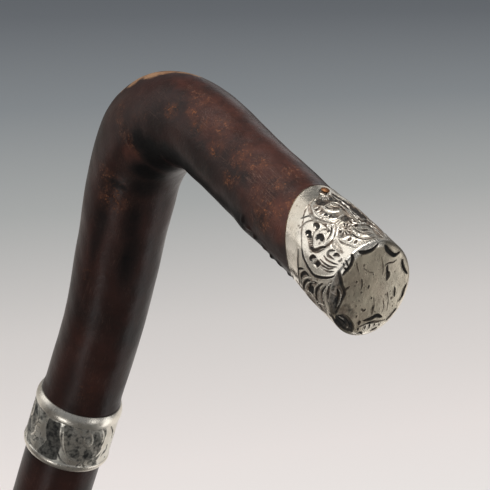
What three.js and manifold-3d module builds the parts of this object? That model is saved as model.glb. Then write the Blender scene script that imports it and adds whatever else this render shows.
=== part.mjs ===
// Silver-mounted walking stick.
// A bent wooden handle is joined to a straight tapered shaft by a steel stud, under a silver
// collar. A silver cap closes the handle's nose, and a brass ferrule with an iron tip is the foot.
// Millimetres. The origin is under the foot, on the shaft's axis. +Z runs up the shaft, and the
// handle points along +X.

import * as THREE from "three";
import { mergeVertices } from "three/addons/utils/BufferGeometryUtils.js";
import Module from "manifold-3d";

const wasm = await Module();
wasm.setup();

const { cos, sin, hypot, exp, PI } = Math;
const degrees = PI / 180;

// Clearances
const seatGap = 0.3; // between a piece and the piece that it seats in or on
const overrun = 2; // how far a cutter reaches past what it cuts

// Mesh fineness
const sides = 48;
const pinSides = 20;
const arcSteps = 5;
const grooveSides = 8;

// Height and reach of the whole stick
const handleHeight = 878; // ground to the handle's axis
const handleReach = 94.2; // shaft's axis to the middle of the cap's face

// Line of the handle's axis, from the shaft's line up to the nose
const kinkDrop = 70.3; // handle's axis down to where the neck starts to lean back
const kinkRadius = 62;
const leanAngle = 8.1 * degrees;
const bendRadius = 27.9;

// Half thicknesses of the wood, in turn from the collar to the nose
const neckRadius = 11.2;
const kinkHalf = 11.3;
const throatRadius = 12.6;
const elbowOuter = 16.5; // on the outer side of the bend
const elbowInner = 12.6; // in the crook
const elbowHalfWidth = 12.9; // across the bend's plane
const elbowShare = 0.37;
const shoulderHalf = 11.5;
const gripRadius = 11.25;
const noseRadius = 11.5;

// Pruned knot on the underside of the handle
const knotSetback = 23.1; // back from the lowest part of the cap's mouth
const knotHeight = 0.7;
const knotSize = 4.5;
const knotAngle = -38 * degrees; // below the side that faces -Y

// Flare of the wood where it sits on the collar
const flareRise = 0.3;
const flareHeight = 3.2;

// Collar over the joint
const collarDrop = 97.7; // handle's axis down to the collar's top edge
const collarHeight = 18.7;
const collarTopRadius = 12.5;
const collarBottomRadius = 12.6;
const collarWall = 0.7;
const collarHem = 1.2; // height of the edges that are turned in to grip the wood
const bandHeight = 3.4; // plain band round the top
const bandRise = 0.15; // how far its middle stands out
const bandTurn = 0.7; // how far its top edge curls in to the wood
const bandStep = 0.2; // step from the engraved field out to the band
const beadHeight = 2; // bead round the bottom
const beadRise = 0.1;
const beadTurn = 0.5; // how far its lower edge curls in

// Stud in the joint
const studRadius = 4;
const studLength = 50;
const studChamfer = 0.8;
const studTipGap = 1;

// Shaft
const shaftTopRadius = 11.1;
const shaftFootRadius = 8;

// Ferrule
const tipHeight = 8; // iron that shows under the ferrule
const ferruleLength = 34;
const ferruleWall = 0.7;
const ferruleFootRadius = 7;
const ferruleBeadHeight = 1.6;
const ferruleBeadProud = 0.35;
const tipRounding = 1;
const tipShank = 7;

// Cap's mouth, an oblique edge that reaches further back over the top of the handle
const capLength = 18.6; // middle of the face back to the lowest part of the mouth's edge
const mouthSlope = 0.74; // how far the edge runs back for each unit of height
const mouthKnee = 4; // how far below the axis the edge levels off
const mouthSoftness = 3;
const mouthFacing = 1.6; // depth over which the mouth's edge thins out

// Cap
const capRadius = 12.25;
const capMouthRadius = 11.6;
const capWall = 0.6;
const capSwell = 9; // length over which the sleeve opens to its full radius
const faceSlope = 0.2; // how far the face leans back for each unit of height
const plateThickness = 1.3;
const plateShoulder = 2; // width of the rounded edge of the face
const plateShoulderDrop = 0.9;

// Crescents struck round the cap's face
const crescentCount = 9;
const crescentPhase = 35 * degrees;
const crescentPlace = 13.1; // cap's axis to a crescent's centre
const crescentBow = 3.4;
const crescentGroove = 0.5; // radius of the groove's section
const crescentDepth = 0.3;
const crescentTilt = 12 * degrees;

// Cement in the cap
const cementWall = 0.9;
const cementStart = 10; // mouth's edge to the cement
const cementEnd = 4.5; // cement's thickness at the nose, behind the plate

// Small nails
const capPinPlace = 3.4; // mouth's edge to the nail at the top of the cap
const ferrulePinDrop = 7; // ferrule's mouth to its nail
const nailRadius = 0.5;
const nailLength = 6;
const nailHeadRadius = 1.2;
const nailHeadHeight = 0.5;

// Places that follow from those sizes
const collarTop = handleHeight - collarDrop;
const collarBottom = collarTop - collarHeight;
const jointHeight = (collarTop + collarBottom) / 2;
const mouthReach = handleReach - capLength;
const knotReach = mouthReach - knotSetback;
const ferruleFoot = tipHeight;
const ferruleMouthHeight = ferruleFoot + ferruleLength;
const studReach = studLength / 2 + studTipGap;
const boreRadius = studRadius + seatGap;

const round = (index, count) => (2 * PI * index) / count;

// Closed ring of points, one for each direction round a piece.
const ring = (point) => Array.from({ length: sides }, (_, i) => point(round(i, sides)));

// Level ring round the shaft's axis. Angle 0 faces -Y here, as it does on the handle.
const levelRing = (radius, height) =>
  ring((angle) => new THREE.Vector3(-radius * sin(angle), -radius * cos(angle), height));

function signedVolume(points, faces) {
  return faces.reduce((sum, [a, b, c]) => {
    const normal = new THREE.Vector3().crossVectors(points[b], points[c]);
    return sum + points[a].dot(normal) / 6;
  }, 0);
}

// Solid skinned over rings of points. A lone point closes an end to a pole, and a looped skin
// joins its last ring to its first.
function skin(rings, looped = false) {
  const points = [];
  const starts = rings.map((row) => {
    const start = points.length;
    points.push(...[row].flat());
    return start;
  });
  const faces = [];
  const spans = looped ? rings.length : rings.length - 1;
  for (let k = 0; k < spans; k++) {
    const next = (k + 1) % rings.length;
    for (let i = 0; i < sides; i++) {
      const j = (i + 1) % sides;
      const [lowPole, highPole] = [!Array.isArray(rings[k]), !Array.isArray(rings[next])];
      const [a, b] = [starts[k] + i, starts[k] + j];
      const [c, d] = [starts[next] + j, starts[next] + i];
      if (lowPole) faces.push([starts[k], c, d]);
      else if (highPole) faces.push([a, b, starts[next]]);
      else faces.push([a, b, c], [a, c, d]);
    }
  }
  const outward = signedVolume(points, faces) > 0;
  const geometry = new THREE.BufferGeometry().setFromPoints(points);
  geometry.setIndex(faces.flatMap(([a, b, c]) => (outward ? [a, b, c] : [a, c, b])));
  geometry.computeVertexNormals();
  return geometry;
}

// Turned solid about Z from a profile of [radius, height] points.
function turned(profile, count = sides) {
  const outline = profile.map(([radius, height]) => new THREE.Vector2(radius, height));
  return new THREE.LatheGeometry(outline, count).rotateX(PI / 2);
}

// Quarter round of a profile about a centre, with its own width and height.
function fillet([centreRadius, centreHeight], [width, height], from, to) {
  return Array.from({ length: arcSteps + 1 }, (_, i) => {
    const angle = THREE.MathUtils.lerp(from, to, i / arcSteps);
    return [centreRadius + width * cos(angle), centreHeight + height * sin(angle)];
  });
}

function toSolid(geometry) {
  const bare = geometry.clone();
  bare.deleteAttribute("normal");
  bare.deleteAttribute("uv");
  const merged = mergeVertices(bare);
  const mesh = { numProp: 3, vertProperties: merged.attributes.position.array };
  mesh.triVerts = new Uint32Array(merged.index.array);
  return new wasm.Manifold(new wasm.Mesh(mesh));
}

function toGeometry(solid) {
  const mesh = solid.getMesh();
  const geometry = new THREE.BufferGeometry();
  geometry.setAttribute("position", new THREE.BufferAttribute(mesh.vertProperties, 3));
  geometry.setIndex(new THREE.BufferAttribute(mesh.triVerts, 1));
  geometry.computeVertexNormals();
  return geometry;
}

const cut = (geometry, tools) =>
  toGeometry(tools.reduce((solid, tool) => solid.subtract(toSolid(tool)), toSolid(geometry)));

// Line of the handle's axis in the XZ plane. Headings are measured from +Z towards +X.
function travel({ start, heading, length, turn }, run) {
  if (turn === 0) {
    const end = new THREE.Vector2(start.x + run * sin(heading), start.y + run * cos(heading));
    return { place: end, heading };
  }
  const radius = length / turn;
  const ahead = heading + run / radius;
  const x = start.x + radius * (cos(heading) - cos(ahead));
  const z = start.y + radius * (sin(ahead) - sin(heading));
  return { place: new THREE.Vector2(x, z), heading: ahead };
}

const kinkTangent = kinkRadius * Math.tan(leanAngle / 2);
const leanRun = (kinkDrop - bendRadius * (1 + sin(leanAngle))) / cos(leanAngle);
const bendEndReach = bendRadius * cos(leanAngle) - leanRun * sin(leanAngle);
const neckRun = handleHeight - kinkDrop - kinkTangent - jointHeight;
const bendAngle = PI / 2 + leanAngle;

const stretches = [
  { length: neckRun, turn: 0 },
  { length: kinkRadius * leanAngle, turn: -leanAngle },
  { length: leanRun - kinkTangent, turn: 0 },
  { length: bendRadius * bendAngle, turn: bendAngle },
  { length: handleReach - bendEndReach, turn: 0 },
];

// Distance along the axis, from the joint, at which each stretch ends.
const ends = [];
let reached = { place: new THREE.Vector2(0, jointHeight), heading: 0 };
for (const stretch of stretches) {
  stretch.start = reached.place;
  stretch.heading = reached.heading;
  reached = travel(stretch, stretch.length);
  ends.push((ends.at(-1) ?? 0) + stretch.length);
}

function axisAt(distance) {
  const index = Math.max(0, ends.findIndex((end) => distance <= end));
  const before = index > 0 ? ends[index - 1] : 0;
  return travel(stretches[index], distance - before);
}

const [neckEnd, kinkEnd, leanEnd, bendEnd, noseEnd] = ends;

// Half thicknesses at their distances: outwards, inwards and across the plane of the bend.
const even = (radius) => [radius, radius, radius];
const girths = [
  [0, ...even(neckRadius)],
  [neckEnd, ...even(kinkHalf)],
  [(kinkEnd + leanEnd) / 2, ...even((kinkHalf + throatRadius) / 2)],
  [leanEnd, ...even(throatRadius)],
  [THREE.MathUtils.lerp(leanEnd, bendEnd, elbowShare), elbowOuter, elbowInner, elbowHalfWidth],
  [bendEnd, ...even(shoulderHalf)],
  [bendEnd + shoulderHalf, ...even(gripRadius)],
  [noseEnd, ...even(noseRadius)],
];

function girthAt(distance) {
  const next = Math.max(1, girths.findIndex(([place]) => distance < place));
  const [from, ...low] = girths[next - 1];
  const [to, ...high] = girths[next];
  const share = THREE.MathUtils.smoothstep(distance, from, to);
  return low.map((half, i) => THREE.MathUtils.lerp(half, high[i], share));
}

// Extra thickness of the wood just above the collar.
const flareStart = collarTop + seatGap - jointHeight;
function flareAt(distance) {
  const above = distance - flareStart;
  return above < 0 ? 0 : flareRise * (1 - THREE.MathUtils.smoothstep(above, 0, flareHeight));
}

function knotAt(distance, angle) {
  const along = distance - (bendEnd + knotReach - bendEndReach);
  const aside = gripRadius * Math.atan2(sin(angle - knotAngle), cos(angle - knotAngle));
  return knotHeight * exp(-((hypot(along, aside) / knotSize) ** 2));
}

// Ring square to the handle's axis. Angle 0 faces -Y, and a quarter turn on is the outer side.
function handleRing(distance) {
  const { place, heading } = axisAt(distance);
  const [outer, inner, halfWidth] = girthAt(distance).map((half) => half + flareAt(distance));
  return ring((angle) => {
    const knot = knotAt(distance, angle);
    const out = ((sin(angle) > 0 ? outer : inner) + knot) * sin(angle);
    const y = -(halfWidth + knot) * cos(angle);
    return new THREE.Vector3(place.x - out * cos(heading), y, place.y + out * sin(heading));
  });
}

// Distance from the shaft's axis to the cap's mouth edge and to its face, at a height above the
// handle's axis.
function mouthX(height) {
  const above = height + mouthKnee;
  return mouthReach - (mouthSlope * (above + hypot(above, mouthSoftness))) / 2;
}
const faceX = (height) => handleReach - faceSlope * height;

// Rings of the cap, set in from its mouth edge, back from its face, or part way between.
function capRing(radius, reachAt) {
  return ring((angle) => {
    const height = radius * sin(angle);
    return new THREE.Vector3(reachAt(height), -radius * cos(angle), handleHeight + height);
  });
}
const inFromMouth = (radius, depth) => capRing(radius, (height) => mouthX(height) + depth);
const backFromFace = (radius, depth) => capRing(radius, (height) => faceX(height) - depth);
const capPole = (depth) => new THREE.Vector3(faceX(0) - depth, 0, handleHeight);

// Radius of the cap's sleeve at a depth from its mouth.
const sleeveRadius = (depth) =>
  THREE.MathUtils.lerp(capMouthRadius, capRadius, THREE.MathUtils.smoothstep(depth, 0, capSwell));

const swellShares = [0, 0.2, 0.4, 0.6, 0.8, 1];
const sleeveDepths = swellShares.map((share) => share * capSwell);
const plateBack = plateThickness + seatGap;
const cementRadius = capRadius - capWall - seatGap;
const tenonRadius = cementRadius - cementWall - seatGap;
const tenonMouthRadius = capMouthRadius - capWall - seatGap;
const tenonEnd = plateBack + cementEnd + seatGap; // cap's face to the end of the tenon

// Wood of the handle: bored for the stud, and cut down at the nose to enter the cap.
function handleShape() {
  const straightStart = bendEnd + knotReach - bendEndReach + knotSize;
  const count = (length, step) => Math.max(2, Math.round(length / step));
  const walk = (from, to, step) => {
    const steps = count(to - from, step);
    return Array.from({ length: steps }, (_, i) => from + ((to - from) * i) / steps);
  };
  const coarse = neckRadius / 2;
  const fine = neckRadius / 4;
  const flareEnd = flareStart + flareHeight;
  const places = [
    ...walk(seatGap / 2, flareStart - seatGap / 2, coarse),
    flareStart - seatGap / 2,
    ...walk(flareStart, flareEnd, fine / 4),
    ...walk(flareEnd, leanEnd, coarse),
    ...walk(leanEnd, bendEnd, fine),
    ...walk(bendEnd, straightStart - 2 * knotSize, coarse / 2),
    ...walk(straightStart - 2 * knotSize, straightStart, fine / 2),
  ];
  const bottom = jointHeight + seatGap / 2;
  const bored = [
    new THREE.Vector3(0, 0, jointHeight + studReach),
    levelRing(boreRadius, jointHeight + studReach),
    levelRing(boreRadius, bottom),
  ];
  const shoulder = handleRing(straightStart);
  const mouth = inFromMouth(noseRadius, -seatGap);
  const blendShares = [1 / 3, 2 / 3];
  const blend = blendShares.map((share) =>
    shoulder.map((point, i) => point.clone().lerp(mouth[i], share)));
  return skin([
    ...bored,
    ...places.map(handleRing),
    shoulder,
    ...blend,
    mouth,
    inFromMouth(tenonMouthRadius, -seatGap),
    inFromMouth(tenonMouthRadius, mouthFacing),
    inFromMouth(tenonRadius, cementStart - seatGap),
    backFromFace(tenonRadius, tenonEnd),
    capPole(tenonEnd),
  ]);
}

// Nail that points down -Z, its head's underside at the origin.
function nailShape() {
  const dome = fillet([0, 0], [nailHeadRadius, nailHeadHeight], 0, PI / 2);
  const point = nailLength - 2 * nailRadius;
  return turned([[0, -nailLength], [nailRadius, -point], [nailRadius, 0], ...dome], pinSides);
}

// Hole for a nail, clear of its shank all round and at its point.
function nailHole() {
  const radius = nailRadius + seatGap;
  const depth = nailLength + seatGap;
  const profile = [[0, -depth], [radius, -depth + radius], [radius, overrun], [0, overrun]];
  return turned(profile, pinSides);
}

const capPinX = mouthX(capMouthRadius) + capPinPlace;
const capPinHeight = handleHeight + sleeveRadius(capPinPlace) + seatGap;
const placeCapPin = (geometry) => geometry.translate(capPinX, 0, capPinHeight);

// Ferrule and the wood in it taper in a straight line from its mouth to its foot.
const ferruleRadius = (height) =>
  THREE.MathUtils.mapLinear(height, ferruleFoot, ferruleMouthHeight, ferruleFootRadius,
    shaftFootRadius);
const ferruleInside = (height) => ferruleRadius(height) - ferruleWall;
const ferrulePinHeight = ferruleMouthHeight - ferrulePinDrop;
const ferrulePinX = -ferruleRadius(ferrulePinHeight) - seatGap;
const placeFerrulePin = (geometry) =>
  geometry.rotateY(-PI / 2).translate(ferrulePinX, 0, ferrulePinHeight);

// Radius outside the collar, which tapers in a straight line, and of the bore in its turned edges.
const collarRadius = (height) =>
  THREE.MathUtils.mapLinear(height, collarBottom, collarTop, collarBottomRadius, collarTopRadius);
const spigotRadius = Math.max(neckRadius, shaftTopRadius);
const collarBore = spigotRadius + seatGap;

function shaftShape() {
  const top = jointHeight - seatGap / 2;
  const seat = collarBottom + seatGap;
  const foot = ferruleFoot + tipShank + seatGap;
  const mouth = ferruleMouthHeight + seatGap;
  return turned([
    [0, foot],
    [ferruleInside(foot) - seatGap, foot],
    [ferruleInside(ferruleMouthHeight) - seatGap, mouth],
    [shaftFootRadius, mouth],
    [shaftTopRadius, seat],
    [spigotRadius, seat + collarHem / 2],
    [spigotRadius, top],
    [boreRadius, top],
    [boreRadius, jointHeight - studReach],
    [0, jointHeight - studReach],
  ]);
}

function studShape() {
  const half = studLength / 2;
  const face = studRadius - studChamfer;
  const side = half - studChamfer;
  return turned([
    [0, jointHeight - half],
    [face, jointHeight - half],
    [studRadius, jointHeight - side],
    [studRadius, jointHeight + side],
    [face, jointHeight + half],
    [0, jointHeight + half],
  ]);
}

// Collar of sheet silver: a bead at the bottom, the field for engraving and a plain band at the top,
// both rounded over at the collar's edges, which are turned in to the wood.
function collarShape() {
  // From the field to the collar's edge
  const roll = (start, run, rise, turn) => Array.from({ length: arcSteps + 1 }, (_, i) => {
    const share = i / arcSteps;
    const at = start + run * share;
    return [collarRadius(at) + rise * sin(PI * share) - turn * share ** 2, at];
  });
  const fieldTop = collarTop - bandHeight - bandStep;
  const wall = (height) => [collarRadius(height) - collarWall, height];
  return turned([
    [collarBore, collarBottom],
    ...roll(collarBottom + beadHeight, -beadHeight, beadRise, beadTurn).reverse(),
    [collarRadius(fieldTop) - bandStep, fieldTop],
    ...roll(collarTop - bandHeight, bandHeight, bandRise, bandTurn),
    [collarBore, collarTop],
    [collarBore, collarTop - collarHem],
    wall(collarTop - 2 * collarHem),
    wall(collarBottom + 2 * collarHem),
    [collarBore, collarBottom + collarHem],
    [collarBore, collarBottom],
  ]);
}

function sleeveShape() {
  const front = plateThickness + seatGap / 2;
  const outside = [
    ...sleeveDepths.map((depth) => inFromMouth(sleeveRadius(depth), depth)),
    backFromFace(capRadius, front),
  ];
  const inside = [
    backFromFace(capRadius - capWall, front),
    ...sleeveDepths.slice(1).reverse().map((depth) =>
      inFromMouth(sleeveRadius(depth) - capWall, depth)),
    inFromMouth(capMouthRadius - capWall, 0),
  ];
  return skin([...outside, ...inside], true);
}

// Ring that tips into the face on its inner side, and so cuts a crescent.
function crescentTool(index) {
  const angle = crescentPhase + round(index, crescentCount);
  const rise = crescentGroove - crescentDepth + crescentBow * sin(crescentTilt);
  return new THREE.TorusGeometry(crescentBow, crescentGroove, grooveSides, sides)
    .rotateY(crescentTilt)
    .translate(crescentPlace, 0, rise)
    .rotateZ(angle);
}

// End plate: turned and struck flat about Z, then laid on the slanting end of the cap.
function plateShape() {
  const flat = capRadius - plateShoulder;
  const size = [plateShoulder, plateShoulderDrop];
  const shoulder = fillet([flat, -plateShoulderDrop], size, 0, PI / 2);
  const blank = turned([[0, -plateThickness], [capRadius, -plateThickness], ...shoulder, [0, 0]]);
  const struck = cut(blank, Array.from({ length: crescentCount }, (_, i) => crescentTool(i)));
  const { position } = struck.attributes;
  const point = new THREE.Vector3();
  for (let i = 0; i < position.count; i++) {
    point.fromBufferAttribute(position, i);
    const height = point.y;
    position.setXYZ(i, faceX(height) + point.z, -point.x, handleHeight + height);
  }
  const order = [...struck.index.array];
  const faces = [];
  for (let i = 0; i < order.length; i += 3) faces.push(order.slice(i, i + 3));
  const corners = Array.from({ length: position.count }, (_, i) =>
    new THREE.Vector3().fromBufferAttribute(position, i));
  if (signedVolume(corners, faces) < 0) struck.setIndex(faces.flatMap(([a, b, c]) => [a, c, b]));
  struck.computeVertexNormals();
  return struck;
}

// Cement that fills the cap round the tenon and in front of it.
function cementShape() {
  const bore = tenonRadius + seatGap;
  const floor = tenonEnd - seatGap;
  return skin([
    capPole(plateBack),
    backFromFace(cementRadius, plateBack),
    inFromMouth(cementRadius, cementStart),
    inFromMouth(bore, cementStart),
    backFromFace(bore, floor),
    capPole(floor),
  ]);
}

function ferruleShape() {
  const mouth = ferruleMouthHeight;
  const bead = shaftFootRadius + ferruleBeadProud;
  return turned([
    [ferruleInside(ferruleFoot), ferruleFoot],
    [ferruleFootRadius, ferruleFoot],
    [ferruleRadius(mouth - ferruleBeadHeight), mouth - ferruleBeadHeight],
    [bead, mouth - 0.75 * ferruleBeadHeight],
    [bead, mouth - 0.25 * ferruleBeadHeight],
    [shaftFootRadius, mouth],
    [ferruleInside(mouth), mouth],
    [ferruleInside(ferruleFoot), ferruleFoot],
  ]);
}

// Iron tip: a thick foot under the ferrule with a shank up inside it.
function tipShape() {
  const shank = ferruleInside(ferruleFoot) - seatGap;
  const corner = [ferruleFootRadius - tipRounding, tipRounding];
  const rounded = fillet(corner, [tipRounding, tipRounding], -PI / 2, 0);
  return turned([
    [0, 0],
    ...rounded,
    [ferruleFootRadius, ferruleFoot - seatGap],
    [shank, ferruleFoot - seatGap],
    [shank, ferruleFoot + tipShank],
    [0, ferruleFoot + tipShank],
  ]);
}

// Finishes
const finish = (color, roughness, metalness) =>
  new THREE.MeshStandardMaterial({ color, roughness, metalness });
const stainedWood = finish(0x3b2420, 0.35, 0);
const silver = finish(0xb9b6ab, 0.3, 1);
const brass = finish(0xa9824a, 0.35, 1);
const steel = finish(0x77787a, 0.4, 1);
const iron = finish(0x4a4745, 0.6, 1);
const cement = finish(0x6b4a33, 0.8, 0);

const stick = new THREE.Group();
function add(name, geometry, material) {
  const mesh = new THREE.Mesh(geometry, material);
  mesh.name = name;
  stick.add(mesh);
}

add("handle", cut(handleShape(), [placeCapPin(nailHole())]), stainedWood);
add("shaft", cut(shaftShape(), [placeFerrulePin(nailHole())]), stainedWood);
add("joint_stud", studShape(), steel);
add("collar_band", collarShape(), silver);
add("cap_sleeve", cut(sleeveShape(), [placeCapPin(nailHole())]), silver);
add("cap_end_plate", plateShape(), silver);
add("cap_cement", cementShape(), cement);
add("cap_pin", placeCapPin(nailShape()), brass);
add("ferrule_tube", cut(ferruleShape(), [placeFerrulePin(nailHole())]), brass);
add("ferrule_tip", tipShape(), iron);
add("ferrule_pin", placeFerrulePin(nailShape()), brass);

export default stick;
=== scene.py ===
"""Looks of the silver-mounted walking stick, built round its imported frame.

Lengths in the tables are in millimetres. The frame and every mesh are in metres.
"""

from math import cos, pi, radians, sin, tan

import bmesh
import bpy
import numpy as np
from mathutils import Matrix, Quaternion, Vector


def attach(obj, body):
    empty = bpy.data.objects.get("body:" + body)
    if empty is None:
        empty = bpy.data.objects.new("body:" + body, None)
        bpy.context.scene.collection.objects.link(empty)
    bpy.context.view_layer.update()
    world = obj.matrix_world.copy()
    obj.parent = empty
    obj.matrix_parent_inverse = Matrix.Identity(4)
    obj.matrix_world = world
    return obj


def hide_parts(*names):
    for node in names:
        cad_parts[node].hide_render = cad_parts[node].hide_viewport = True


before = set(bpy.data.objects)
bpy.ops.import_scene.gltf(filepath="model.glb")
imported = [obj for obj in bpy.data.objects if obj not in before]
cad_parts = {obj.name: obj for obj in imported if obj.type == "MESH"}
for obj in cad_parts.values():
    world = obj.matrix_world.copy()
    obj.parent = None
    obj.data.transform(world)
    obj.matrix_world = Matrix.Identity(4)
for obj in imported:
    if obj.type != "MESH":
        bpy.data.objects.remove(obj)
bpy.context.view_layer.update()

mm = 0.001
rng = np.random.default_rng(7)

# Sizes shared with the CAD
axis_height = 878
handle_reach = 94.2
joint_height = 770.95
kink_drop, kink_radius, lean, bend_radius = 70.3, 62, radians(8.1), 27.9
neck_radius, kink_half, throat_radius = 11.2, 11.3, 12.6
shoulder_half, grip_radius, nose_radius = 11.5, 11.25, 11.5
elbow_outer, elbow_inner, elbow_half_width, elbow_share = 16.5, 12.6, 12.9, 0.37
knot_reach, knot_height, knot_size, knot_angle = 52.5, 0.7, 4.5, radians(-38)
flare_rise, flare_height = 0.3, 3.2
mouth_reach, mouth_slope, mouth_knee, mouth_softness = 75.6, 0.74, 4, 3
cap_radius, cap_mouth_radius, cap_wall, cap_swell = 12.25, 11.6, 0.6, 9
face_slope, plate_thickness, shoulder_width, shoulder_drop = 0.2, 1.3, 2, 0.9
collar_top, collar_bottom = 780.3, 761.6
collar_top_radius, collar_bottom_radius = 12.5, 12.6
collar_bore, band_height, band_rise, band_turn, band_step = 11.5, 3.4, 0.15, 0.7, 0.2
bead_height, bead_rise, bead_turn = 2, 0.1, 0.5
shaft_top_radius, shaft_foot_radius, ferrule_mouth = 11.1, 8, 42

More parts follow.
